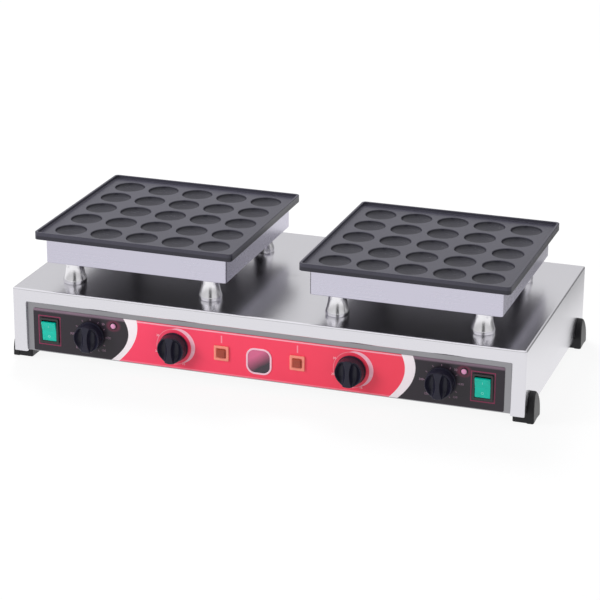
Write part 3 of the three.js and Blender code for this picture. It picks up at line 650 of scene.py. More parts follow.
def nonstick_coat(name, tone, web):
    """Sprayed non-stick coat on a casting: orange peel, tiny pale specks, and a web painted lighter than the
    wells as painted sheen.
    """
    finish = Finish(name, metallic=0.0, ior=1.38)
    peel = finish.noise(900.0, detail=2.0)
    cast = finish.noise(110.0, detail=3.0)
    cloud = finish.noise(14.0, detail=2.0)
    speck = finish.noise(2600.0, detail=0.0).above(0.74, 0.03)
    # The web is painted lighter than the well hollows: painted sheen on the web and painted shade in the
    # wells.
    painted_web_sheen = finish.axes()[2].above(web - 0.8 * MM, 1.2 * MM) * (cloud * 0.5 + 0.6)
    ground = finish.mix(painted_web_sheen, tone, toned(tone, 2.1))
    finish.set("Base Color", finish.mix(speck * 0.4, ground, toned(tone, 3)))
    finish.set("Roughness", cloud * 0.06 + cast * 0.05 + 0.27)
    return finish.bump(peel * 0.5 + cast * 0.5, 0.18, 0.0003)


def moulded_plastic(name, tone, roughness, grain=0.12, **constants):
    """Moulded plastic with a fine spark grain and slightly uneven gloss."""
    finish = Finish(name, **constants)
    grain_noise = finish.noise(1500.0, detail=1.0)
    cloud = finish.noise(50.0, detail=2.0)
    finish.set("Base Color", finish.mix(cloud, tone, toned(tone, 1.25, 0.002)))
    finish.set("Roughness", cloud * 0.08 + grain_noise * 0.05 + (roughness - 0.06))
    return finish.bump(grain_noise, grain, 0.0001)


def lamp_plastic(name, tone, glow):
    """Translucent lens plastic that glows a little from the lamp behind it."""
    finish = Finish(name, coat_weight=0.1, coat_roughness=0.12, specular_ior_level=0.3,
                    emission_strength=glow)
    cloud = finish.noise(140.0, detail=2.0)
    shade = finish.mix(cloud, toned(tone, 0.82), toned(tone, 1.12))
    finish.set("Base Color", shade)
    finish.set("Emission Color", shade)
    finish.set("Roughness", cloud * 0.10 + 0.20)
    return finish


def fired_ceramic(name, tone):
    """Unglazed ceramic with a chalky speckle."""
    finish = Finish(name)
    speckle = finish.noise(400.0, detail=3.0)
    finish.set("Base Color", finish.mix(speckle, toned(tone, 0.88), tone))
    finish.set("Roughness", speckle * 0.15 + 0.62)
    return finish.bump(speckle, 0.15, 0.0003)


def wool_board(name, tone):
    """Pressed mineral wool: matted fibres in layers."""
    finish = Finish(name, sheen_weight=0.3)
    fibre = finish.noise((120.0, 900.0, 1600.0), detail=4.0, rough=0.7)
    finish.set("Base Color", finish.mix(fibre, toned(tone, 0.7), tone))
    finish.set("Roughness", fibre * 0.1 + 0.85)
    return finish.bump(fibre, 0.5, 0.0006)


def dress(nodes, finish):
    """Gives frame nodes a finish and leaves their shape alone."""
    for node in nodes:
        materials = frame["nodes"][node].data.materials
        materials.clear()
        materials.append(finish.material)


def well_field(plate):
    """The wells and the web between them, about the plate's middle, with the web at level 0.

    Along a ray from a well's middle the surface is a dish, z = -d sqrt(1 - u^p) - lip with u = r / R,
    then a quarter circle for the lip, and then the flat web out to the edge of the well's square cell.
    Rings are scaled about the middle: the last ones go over from the circle to the square by
    c / max(|cos t|, |sin t|).
    """
    steepness = 2.6
    cell = plate.well_pitch / 2
    lip = plate.well_lip
    dish = plate.well_radius - lip
    turn = np.arange(WELL_STEPS) * 2 * math.pi / WELL_STEPS - math.pi / 4
    share = np.sin(np.linspace(0, math.pi / 2, 17))
    arc = np.linspace(0, math.pi / 2, 6)[1:]
    radius = np.concatenate([dish * share, dish + lip * (1 - np.cos(arc))])
    level = np.concatenate([-(plate.well_depth - lip) * np.sqrt(1 - share ** steepness) - lip,
                            lip * (np.sin(arc) - 1)])
    square = cell / np.maximum(np.abs(np.cos(turn)), np.abs(np.sin(turn)))
    blend = np.array([0.45, 1.0])[:, None]
    rings = np.concatenate([np.repeat(radius[:, None], WELL_STEPS, axis=1),
                            (1 - blend) * plate.well_radius + blend * square])
    levels = np.concatenate([level, [0.0, 0.0]])
    one = stacked(np.stack([rings * np.cos(turn), rings * np.sin(turn)], axis=-1), levels)
    middle = (np.arange(WELLS_ACROSS) - WELLS_ACROSS // 2) * plate.well_pitch
    across, along = np.meshgrid(middle, middle)
    offsets = np.stack([across.ravel(), along.ravel(), np.zeros(across.size)], axis=-1)
    points = one.reshape(1, -1, 3) + offsets[:, None, :]
    faces = grid_faces(len(rings), WELL_STEPS, close_columns=True)
    starts = np.arange(across.size)[:, None, None] * one.reshape(-1, 3).shape[0]
    return points.reshape(-1, 3), [(faces[None] + starts).reshape(-1, 4)]


def plate_edge(plate, half, block_depth):
    """Everything of the plate outside its wells, about its middle, with the web at level 0.

    A profile of (half width, level) is carried round the square. Its first ring has the points of the
    well field's edge; outside that ring the points crowd towards the corners by sin(pi s / 2), and each
    corner is rounded by pushing its points out from a smaller square by the corner's radius.
    """
    cell_turn = np.arange(WELL_STEPS // 4) * 2 * math.pi / WELL_STEPS - math.pi / 4
    cell = plate.well_pitch / 2 * np.tan(cell_turn)
    side = ((np.arange(WELLS_ACROSS) - WELLS_ACROSS // 2)[:, None] * plate.well_pitch + cell).ravel()
    field = plate.well_pitch * WELLS_ACROSS / 2
    share = side / field
    inner = half - plate.rim_width
    top, bottom = plate.rim_height, -plate.slab
    corners = [(field, 0), (inner, 0), (inner, top), (half, top), (half, bottom), (plate.block_half, bottom),
               (plate.block_half, bottom - block_depth), (0, bottom - block_depth)]
    radii = [plate.rim_root, plate.rim_inner, plate.edge, plate.edge, plate.cut_edge, 2 * plate.cut_edge]
    profile = filleted(corners, radii)
    reach, level = profile[:, 0], profile[:, 1]
    corner = np.clip(plate.corner - (half - reach) / 2, 0, plate.corner)
    crowd = np.where(np.arange(len(reach)) == 0, 0.0, 1.0)[:, None]
    along = reach[:, None] * ((1 - crowd) * share + crowd * np.sin(math.pi / 2 * share))
    core = np.maximum(reach - corner, 0)[:, None]
    held = np.clip(along, -core, core)
    push_x = np.broadcast_to(reach[:, None] - core, along.shape)
    push_y = along - held
    length = np.maximum(np.hypot(push_x, push_y), 1e-12)
    x = core + corner[:, None] * push_x / length
    y = held + corner[:, None] * push_y / length
    quarters = [(x, y), (-y, x), (-x, -y), (y, -x)]
    rings = np.stack([np.concatenate([q[i] for q in quarters], axis=1) for i in (0, 1)], axis=-1)
    return tube(stacked(rings, level))


class GRILL_OT_baking_plates(bpy.types.Operator):
    """Make the two baking plates with their dished wells and raised rims."""
    bl_idname = "grill.baking_plates"
    bl_label = "Baking Plates"

    def execute(self, context):
        plate, _, _ = sizes(context)
        web = span("left_baking_plate")[1][2] - plate.rim_height
        finish = nonstick_coat("nonstick_coat", context.scene.grill_colours.coat, web)
        for side in SIDES:
            node = f"{side}_baking_plate"
            low, high = span(node)
            middle = centre(node)
            place = Matrix.Translation((middle[0], middle[1], web))
            edge = plate_edge(plate, (high[0] - low[0]) / 2, web - plate.slab - low[2])
            parts = [moved(well_field(plate), place), moved(edge, place)]
            make_piece(f"{side}_plate", parts, finish, stands_for=(node,), sharp=60)
        return {"FINISHED"}


class GRILL_OT_boxes(bpy.types.Operator):
    """Make the folded steel boxes under the plates, and finish the trays that close them."""
    bl_idname = "grill.boxes"
    bl_label = "Heater Boxes"

    def execute(self, context):
        plate, _, _ = sizes(context)
        colours = context.scene.grill_colours
        for side in SIDES:
            node = f"{side}_skirt"
            low, high = span(node)
            middle = centre(node)
            half = (high[0] - low[0]) / 2
            # This darker tone is painted shade: the boxes are the same satin stainless as the casing.
            finish = sheet_steel(f"{side}_box_steel", colours.box_steel, 0.28)
            gauge, height = plate.sheet, high[2] - low[2]
            corners = [(half, height / 2), (half, height), (half - gauge, height), (half - gauge, 0),
                       (half, 0), (half, height / 2)]
            profile = filleted(corners, [plate.cut_edge] * 3 + [plate.box_fold], 4)[:-1]
            corner = np.maximum(plate.box_corner - (half - profile[:, 0]), 0)
            rings = rounded_rings(profile[:, 0], profile[:, 0], corner, 13)
            part = tube(stacked(rings, profile[:, 1]), close_rows=True)
            place = Matrix.Translation((middle[0], middle[1], low[2]))
            make_piece(f"{side}_box", [moved(part, place)], finish, stands_for=(node,))
        # The trays under the heads are painted dark: painted shade under the heads.
        tray = plain_metal("tray_steel_painted_shade", (0.17, 0.165, 0.185), 0.5)
        dress([f"{side}_tray" for side in SIDES], tray)
        return {"FINISHED"}


class GRILL_OT_legs(bpy.types.Operator):
    """Make the eight turned legs and the two sleeves that take the leads."""
    bl_idname = "grill.legs"
    bl_label = "Legs"

    def execute(self, context):
        _, base, _ = sizes(context)
        finish = polished_steel("polished_legs", context.scene.grill_colours.polished)
        for side in SIDES:
            for corner in CORNERS:
                node = f"{side}_leg_{corner}"
                low, high = span(node)
                part = lathe(self.profile(base, high[2] - low[2]), 96, close=True)
                make_piece(f"{side}_turned_leg_{corner}", [moved(part, self.foot_of(node))], finish,
                           stands_for=(node,))
        self.sleeves(base, finish)
        return {"FINISHED"}

    @staticmethod
    def foot_of(node):
        """The place of a turned piece's foot: the middle of its node's underside."""
        middle = centre(node)
        return Matrix.Translation((middle[0], middle[1], span(node)[0][2]))

    @staticmethod
    def profile(base, height):
        """Lip, flare and neck: above the lip r = top + (base - top) (1 - s)^1.5, with eased edges."""
        hollow = 1.5
        flare = height - base.leg_neck - base.leg_lip
        share = np.linspace(0, 1, 14)[1:-1]
        curve = base.leg_top + (base.leg_base - base.leg_top) * (1 - share) ** hollow
        edge = base.leg_edge
        foot = filleted([(base.leg_bore, 0), (base.leg_base - edge, 0), (base.leg_base, base.leg_lip * 0.9)],
                        [edge], 4)
        cone = np.stack([curve, base.leg_lip + flare * share], axis=-1)
        top = filleted([(base.leg_top, height - base.leg_neck), (base.leg_top, height),
                        (base.leg_bore, height)], [edge], 4)
        return np.concatenate([foot, cone, top])

    def sleeves(self, base, finish):
        """Two straight tubes: a rectangle of (radius, level) with eased corners, turned about Z."""
        for side in SIDES:
            node = f"{side}_lead_sleeve"
            low, high = span(node)
            radius = (high[0] - low[0]) / 2
            bore = radius - base.sleeve_wall
            height = high[2] - low[2]
            corners = [(radius, height / 2), (radius, height), (bore, height), (bore, 0), (radius, 0),
                       (radius, height / 2)]
            profile = filleted(corners, [base.sleeve_edge] * 4, 3)[:-1]
            part = moved(lathe(profile, 48, close=True), self.foot_of(node))
            make_piece(f"{side}_sleeve", [part], finish, stands_for=(node,))


class GRILL_OT_casing(bpy.types.Operator):
    """Make the folded casing as one sheet with rounded bends, and finish the panel and the cover."""
    bl_idname = "grill.casing"
    bl_label = "Casing"

    def execute(self, context):
        plate, base, _ = sizes(context)
        low, high = span("casing")
        steel = context.scene.grill_colours.steel
        side_walls = high[0] - 1.0 * MM
        finish = sheet_steel("casing_steel", steel, 0.24, turned_past=side_walls)
        gauge = ("SOLIDIFY", {"thickness": plate.sheet, "offset": -1.0, "use_even_offset": True})
        make_piece("casing_sheet", [self.sheet(base, low, high)], finish, stands_for=("casing",),
                   shaped=[rounding(base.bend, 5, 30), gauge])
        # The panel's steel is painted at 0.42 of the casing's tone: painted shade in the recess behind the
        # front frame.
        dress(["control_panel"], sheet_steel("panel_steel_painted_shade", toned(steel, 0.42), 0.34))
        dress(["bottom_cover"], plain_metal("galvanised_steel", (0.42, 0.43, 0.45), 0.40))
        return {"FINISHED"}

    @staticmethod
    def sheet(base, low, high):
        """The outer skin as flat panels: every crossing of the lines below is one point of a box grid.

        The front's middle panel is left open, and its three edges run back by the return's depth.
        """
        x = [low[0], low[0] + base.front_frame, high[0] - base.front_frame, high[0]]
        y = [low[1], high[1]]
        z = [low[2], high[2] - base.front_frame, high[2]]
        points = [(x[i], y[j], z[k]) for j in range(2) for k in range(3) for i in range(4)]

        def at(i, j, k):
            return j * 12 + k * 4 + i

        front = [(i, k) for k in range(2) for i in range(3) if (i, k) != (1, 0)]
        faces = [[at(i, 0, k), at(i + 1, 0, k), at(i + 1, 0, k + 1), at(i, 0, k + 1)] for i, k in front]
        faces += [[at(i + 1, 1, k), at(i, 1, k), at(i, 1, k + 1), at(i + 1, 1, k + 1)]
                  for k in range(2) for i in range(3)]
        faces += [[at(i, 0, 2), at(i + 1, 0, 2), at(i + 1, 1, 2), at(i, 1, 2)] for i in range(3)]
        faces += [[at(0, 1, k), at(0, 0, k), at(0, 0, k + 1), at(0, 1, k + 1)] for k in range(2)]
        faces += [[at(3, 0, k), at(3, 1, k), at(3, 1, k + 1), at(3, 0, k + 1)] for k in range(2)]
        back = y[0] + base.return_depth
        start = len(points)
        points += [(x[1], back, z[0]), (x[1], back, z[1]), (x[2], back, z[1]), (x[2], back, z[0])]
        edge = [at(1, 0, 0), at(1, 0, 1), at(2, 0, 1), at(2, 0, 0)]
        faces += [[edge[i], edge[i + 1], start + i + 1, start + i] for i in range(3)]
        return np.array(points), [np.array(faces)]


class GRILL_OT_feet(bpy.types.Operator):
    """Make the four moulded corner feet: a pad under the casing and a tapering cheek beside it."""
    bl_idname = "grill.feet"
    bl_label = "Feet"

    def execute(self, context):
        _, base, _ = sizes(context)
        finish = moulded_plastic("foot_plastic", context.scene.grill_colours.black, 0.36, grain=0.2,
                                 specular_ior_level=0.3)
        for end in ("front", "rear"):
            for side, way in (("left", -1), ("right", 1)):
                node = f"foot_{end}_{side}"
                low, high = span(node)
                inner = low[0] if way > 0 else high[0]
                wall = inner + way * (base.foot_inset + base.foot_gap)
                piece = make_piece(f"{node}_moulded", [self.cheek(base, low, high, wall, way)], finish,
                                   stands_for=(node,))
                fused(piece, self.pad(base, low, high, inner, wall + way * base.foot_overlap), 35)
        return {"FINISHED"}

    @staticmethod
    def cheek(base, low, high, wall, way):
        """The arched cheek, a wedge with a rounded edge.

        Its outline has upright sides and above the shoulder the arch y = half cos(t)^1.12,
        z = rise sin(t). A ring at the distance d inside the outline has all its points drawn d towards
        the shoulder's middle. The face stands out by
        crest + (proud - crest) sqrt(1 - ((z - z0) / height)^2), and a quarter circle rounds the edge.
        """
        pointed = 1.12
        inner_shares = np.array([[0], [0.3], [0.6], [0.85]])
        half = (high[1] - low[1]) / 2
        middle = (low[1] + high[1]) / 2
        shoulder = low[2] + base.foot_shoulder
        turn = np.linspace(0, math.pi, 49)
        side = np.linspace(0, 1, 9)[1:-1]
        drop = low[2] - shoulder
        arch = np.sign(np.cos(turn)) * np.abs(np.cos(turn)) ** pointed
        y = np.concatenate([half * arch, np.full(7, -half), half * np.linspace(-1, 1, 15),
                            np.full(7, half)])
        z = np.concatenate([(high[2] - shoulder) * np.sin(turn), drop * side, np.full(15, drop),
                            drop * (1 - side)])
        z = np.where(z > 0, z * (1 - base.foot_ease / (high[2] - shoulder)), z)
        reach = np.hypot(y, z)
        bend = np.linspace(0, math.pi / 2, 6)[:, None]
        inside = 1 - base.foot_edge * (1 - np.sin(bend)) / reach
        share = np.concatenate([inner_shares * inside[:1], inside])
        level = share * z
        height = np.clip((shoulder + level - low[2]) / (high[2] - low[2]), 0, 1)
        bow = np.sqrt(1 - height ** 2)
        proud = base.foot_crest - base.foot_gap + (base.foot_proud - base.foot_crest) * bow
        proud[len(inner_shares):] -= base.foot_edge * (1 - np.cos(bend))
        rows = np.stack([wall + way * proud, middle + share * y, shoulder + level], axis=-1)
        back = np.stack([np.full_like(y, wall), middle + y, shoulder + z], axis=-1)
        return capped(np.concatenate([rows, back[None]]))

    @staticmethod
    def pad(base, low, high, inner, outer):
        """A block with rounded upright edges and an eased sole under the casing's corner.

        Its rings lie at the sole, twice just above it and under the casing, and the first two are drawn
        in. The block is a little narrower than the cheek and stops just below the casing.
        """
        narrower, below = 0.6 * MM, 0.2 * MM
        drawn_in = np.array([1.0, 0.3, 0, 0]) * MM
        level = low[2] + np.array([0, 0.3 * MM, 1.0 * MM, base.foot_height - below])
        half_x, half_y = abs(outer - inner) / 2, (high[1] - low[1]) / 2 - narrower
        rings = rounded_rings(half_x - drawn_in, half_y - drawn_in, base.foot_corner - drawn_in, 7)
        points, blocks = capped(stacked(rings, level))
        return points + np.array([(inner + outer) / 2, (low[1] + high[1]) / 2, 0]), blocks


class GRILL_OT_overlay(bpy.types.Operator):
    """Finish the printed overlay: red middle, black ends, crescents, rings, frames, bars and spots."""
    bl_idname = "grill.overlay"
    bl_label = "Printed Overlay"

    def execute(self, context):
        _, base, controls = sizes(context)
        printed = in_millimetres(context.scene.grill_print)
        dress(["panel_overlay"], self.film(context.scene.grill_colours, base, controls, printed))
        return {"FINISHED"}

    def film(self, colours, base, controls, printed):
        """Everything printed is worked out in millimetres: x from the middle, z from the casing's bottom.

        Height is measured from the worktop, and up from the knobs' axes. The factors of the marks are
        how strongly they are printed.
        """
        finish = Finish("printed_film", coat_weight=0.1, coat_roughness=0.18, specular_ior_level=0.35)
        x, _, height = finish.axes(1 / MM)
        z = height - base.foot_height / MM
        up = height - controls.controls_height / MM
        left_pale, left_red, right_red, right_pale = (self.bow(x, z, *edge) for edge in FIELD_EDGES)
        red = left_red.above(0, SOFT) * right_red.below(0, SOFT)
        pale = (left_pale.above(0, SOFT) * right_pale.below(0, SOFT)).most(red)
        rich = colours.print_red
        warm = (rich[0] * 0.97, rich[1] * 0.95, rich[2] * 0.72)
        line = z.above(printed.line_foot, SOFT) * z.below(printed.line_top, SOFT) * red
        hem = z.above(printed.hem_foot, SOFT) * z.below(printed.hem_top, SOFT) * red
        band = z.above(printed.band, printed.band_soft) * (1 - pale)
        bars = self.both(self.bar, "pilot_lamp", x, z, printed)
        rings = self.both(self.ring, "timer", x, up, printed) * red
        ticks = self.both(self.ticks, "thermostat", x, up, printed)
        frames = self.both(self.rectangle, "switch_rocker", x, up, printed)
        spots = self.both(self.spot, "indicator_lamp", x, height, printed)
        ground = finish.mix(pale, colours.print_black, colours.print_pale)
        ground = finish.mix(red, ground, finish.mix((x / printed.fade + 0.5).clamped(), rich, warm))
        for mark, ink in ((band * 0.8, colours.print_mauve),
                          (line * 0.75 + hem * 0.35 + bars * 0.5, colours.print_pink),
                          (rings, colours.print_pink),
                          (ticks * 0.7, colours.tick_ink),
                          (frames.most(spots * 0.6), colours.print_magenta)):
            ground = finish.mix(mark, ground, ink)
        grain = finish.noise(300.0, detail=2.0)
        finish.set("Base Color", ground)
        finish.set("Roughness", grain * 0.08 + 0.26)
        return finish.bump(grain, 0.05, 0.0001)

    @staticmethod
    def bow(x, z, tip, level, bend):
        """How far a point lies to the right of the curve x = tip - bend (z - level)^2, in millimetres."""
        rise = z - level
        return x - (tip - rise * rise * bend)

    @staticmethod
    def both(mark, kind, *values):
        """A mark at the left control of a kind and at the right one, as one."""
        left, right = (mark(f"{side}_{kind}", *values) for side in SIDES)
        return left.most(right)

    @staticmethod
    def polar(node, x, up):
        """Distance and clockwise angle from straight up about a control's axis."""
        across = x - centre(node)[0] / MM
        distance = (across * across + up * up) ** 0.5
        return distance, across.math("ARCTAN2", up)

    def ring(self, node, x, up, printed):
        """A crescent and a thin ring round a timer.

        The crescent is widest at the middle angle, between two and three o'clock, and its width
        falls off by 1 - ((angle - middle) / half)^2.
        """
        middle, half = 1.25, 1.4
        distance, angle = self.polar(node, x, up)
        width = (1 - ((angle - middle) / half) ** 2).most(0) * printed.crescent
        wedge = distance.above(printed.ring, SOFT) * (distance - width).below(printed.ring + 0.2, SOFT)
        thin = distance.above(printed.ring - 0.1, FINE) * distance.below(printed.ring + 0.7, FINE)
        return wedge.most(thin * 0.45)

    def ticks(self, node, x, up, printed):
        """Short dial marks round a thermostat, one every 30 degrees."""
        distance, angle = self.polar(node, x, up)
        phase = abs((angle / math.radians(30)).math("FRACT") - 0.5)
        length = distance.above(printed.tick_start, FINE) * distance.below(printed.tick_end, FINE)
        return phase.above(0.46, 0.02) * length

    @staticmethod
    def rectangle(node, x, up, printed):
        """A thin printed rectangle round a rocker switch."""
        across = abs(x - centre(node)[0] / MM) - printed.frame_half_width
        edge = across.most(abs(up) - printed.frame_half_height)
        return edge.above(-printed.frame_line, CRISP) * edge.below(0.0, CRISP)

    @staticmethod
    def bar(node, x, z, printed):
        """A short plain upright bar over a square lamp."""
        across = abs(x - centre(node)[0] / MM)
        return (across.below(printed.bar_half, SOFT) * z.above(printed.bar_foot, SOFT)
                * z.below(printed.bar_top, SOFT))

    @staticmethod
    def spot(node, x, height, printed):
        """A soft printed spot round a round lamp, wider than high, fading out at its edge."""
        middle = centre(node) / MM
        across, up = x - middle[0], height - middle[2]
        return ((across * across + up * up * 1.6) ** 0.5).below(printed.spot, printed.spot_fade)


class GRILL_OT_dial_numbers(bpy.types.Operator):
    """Print plain numbers round the thermostats and the timers."""
    bl_idname = "grill.dial_numbers"
    bl_label = "Dial Numbers"

    def execute(self, context):
        _, _, controls = sizes(context)
        colours = context.scene.grill_colours
        inks = {"thermostat": colours.dial_ink, "timer": colours.timer_ink}
        for kind, (sweep, texts) in DIALS.items():
            finish = moulded_plastic(f"{kind}_ink", inks[kind], 0.4, grain=0.03)
            for side in SIDES:
                parts = self.numbers(controls, centre(f"{side}_{kind}")[0], sweep, texts)
                make_piece(f"{side}_{kind}_numbers", parts, finish)
        return {"FINISHED"}

    @staticmethod
    def numbers(controls, middle, sweep, texts):
        """The numbers of one dial; right above and below the knob the panel has no room for them."""
        too_upright = 0.93
        plane = span("panel_overlay")[0][1]
        turns = np.radians(np.linspace(0, sweep, len(texts)))
        return [lettering(text, controls.number_height, middle + controls.dial_radius * math.sin(turn),
                          controls.controls_height + controls.dial_radius * math.cos(turn), plane,
                          controls.ink)
                for text, turn in zip(texts, turns) if abs(math.cos(turn)) < too_upright]


class GRILL_OT_knobs(bpy.types.Operator):
    """Make the four knobs: a skirt, a deep body and a waisted grip between two scoops."""
    bl_idname = "grill.knobs"
    bl_label = "Knobs"

    def execute(self, context):
        _, _, controls = sizes(context)
        finish = moulded_plastic("knob_plastic", context.scene.grill_colours.knob, 0.34, grain=0.10,
                                 specular_ior_level=0.28)
        rim = self.rim(controls)
        shapes = (self.face(controls, rim), self.wall(controls, rim))
        for side in SIDES:
            for kind in DIALS:
                node = f"{side}_{kind}_knob"
                back = span(node)[1][1]
                place = Matrix.Translation((centre(node)[0], back, controls.controls_height)) @ FACE_FORWARD
                make_piece(f"{side}_{kind}_grip", [moved(part, place) for part in shapes], finish,
                           stands_for=(node,), sharp=40)
        return {"FINISHED"}

    @staticmethod
    def waist(controls, y):
        """Half the grip's width at y: its sides are circles, so w = grip / 2 + R - sqrt(R^2 - y^2)."""
        radius = controls.waist_radius
        return controls.grip_width / 2 + radius - np.sqrt(radius ** 2 - y ** 2)

    def level(self, controls, x, y):
        """Height of the front: the grip with a rounded edge, a scoop beside it and a lifted rim.

        With u = -1 at the grip and 0 at its lowest line the scoop is a quarter circle, 1 - sqrt(1 - u^2),
        and beyond it rises by u^2. 3/4 of what is missing to the grip's height comes back by (r / R)^6.
        """
        beside = np.abs(x) - self.waist(controls, y)
        edge, crest, floor = controls.grip_edge, controls.knob_height, controls.scoop_floor
        over = np.clip(beside / edge + 1, 0, 1)
        grip = crest - edge * (1 - np.sqrt(1 - over ** 2))
        u = np.clip(beside / controls.scoop_half - 1, -1, 1.5)
        inward = 1 - np.sqrt(1 - np.clip(u, -1, 0) ** 2)
        scoop = floor + (crest - edge - floor) * inward + controls.scoop_rise * np.clip(u, 0, None) ** 2
        height = np.where(beside < 0, grip, scoop)
        return height + 0.75 * (crest - height) * (np.hypot(x, y) / controls.knob_face) ** 6

    def rim(self, controls):
        """Angles from the X axis of the front's rim points, closer where the scoops' walls meet the rim."""
        reach = controls.knob_face - controls.knob_edge
        fine = np.radians(np.linspace(0, 90, 181))
        meets = fine[np.argmin(np.abs(self.waist(controls, reach * np.sin(fine)) - reach * np.cos(fine)))]
        near = meets + np.radians(np.linspace(-9, 4, 27))
        even = np.linspace(0, math.pi / 2, 25)
        even = even[(even < near[0] - 0.02) | (even > near[-1] + 0.02)]
        quarter = np.unique(np.concatenate([even, near]))
        return np.concatenate([-quarter[:0:-1], quarter])

    def face(self, controls, rim):
        """The front as a grid whose lines follow the grip: (x, y, level(x, y)).

        y runs along the rim's points. At each y the columns lie on the grip, round its edge, down the
        scoop and up its far side; a column past the rim is drawn back to it.
        """
        reach = controls.knob_face - controls.knob_edge
        y = (reach * np.sin(rim))[:, None]
        edge = (reach * np.cos(rim))[:, None]
        waist = self.waist(controls, y)
        bend = np.linspace(0, math.pi / 2, 6)
        fall = np.linspace(0, math.pi / 2, 12)[1:]
        across = np.concatenate([controls.grip_edge * (np.sin(bend) - 1),
                                 controls.scoop_half * (1 - np.cos(fall)),
                                 controls.scoop_half * np.array([1.25, 1.5, 1.75, 2.0, 2.25])])
        inner = (waist - controls.grip_edge) * np.array([0, 0.35, 0.7])
        half = np.minimum(np.concatenate([inner, waist + across], axis=1), edge)
        half[:, -1] = edge[:, 0]
        x = np.concatenate([-half[:, :0:-1], half], axis=1)
        y = np.broadcast_to(y, x.shape)
        points = np.stack([x, y, self.level(controls, x, y)], axis=-1)
        return points.reshape(-1, 3), [grid_faces(*x.shape)]

    def wall(self, controls, rim):
        """Skirt, tapered wall and rounded edge, carried round the rim up to the front's own height."""
        turn = np.concatenate([rim, math.pi - rim[-2:0:-1]])
        reach = controls.knob_face - controls.knob_edge
        top = self.level(controls, reach * np.cos(turn), reach * np.sin(turn))
        foot = controls.knob_skirt_height
        skirt = filleted([(0, 0), (controls.knob_skirt, 0), (controls.knob_skirt, foot),
                          (controls.knob_body, foot)], [controls.skirt_edge, controls.skirt_root], 4)
        share = np.linspace(0, 1, 8)[1:, None]
        level = foot + share * (top - controls.knob_edge - foot)
        slope = (controls.knob_body - controls.knob_face) / (controls.knob_height - foot)
        radius = controls.knob_body - slope * (level - foot)
        bend = np.linspace(0, math.pi / 2, 6)[1:, None]
        rows = [np.broadcast_to(skirt[:, :1], (len(skirt), len(turn))), radius,
                reach + (radius[-1] - reach) * np.cos(bend)]
        levels = [np.broadcast_to(skirt[:, 1:], (len(skirt), len(turn))), level,
                  level[-1] + controls.knob_edge * np.sin(bend)]
        rows, levels = np.concatenate(rows), np.concatenate(levels)
        return tube(np.stack([rows * np.cos(turn), rows * np.sin(turn), levels], axis=-1))


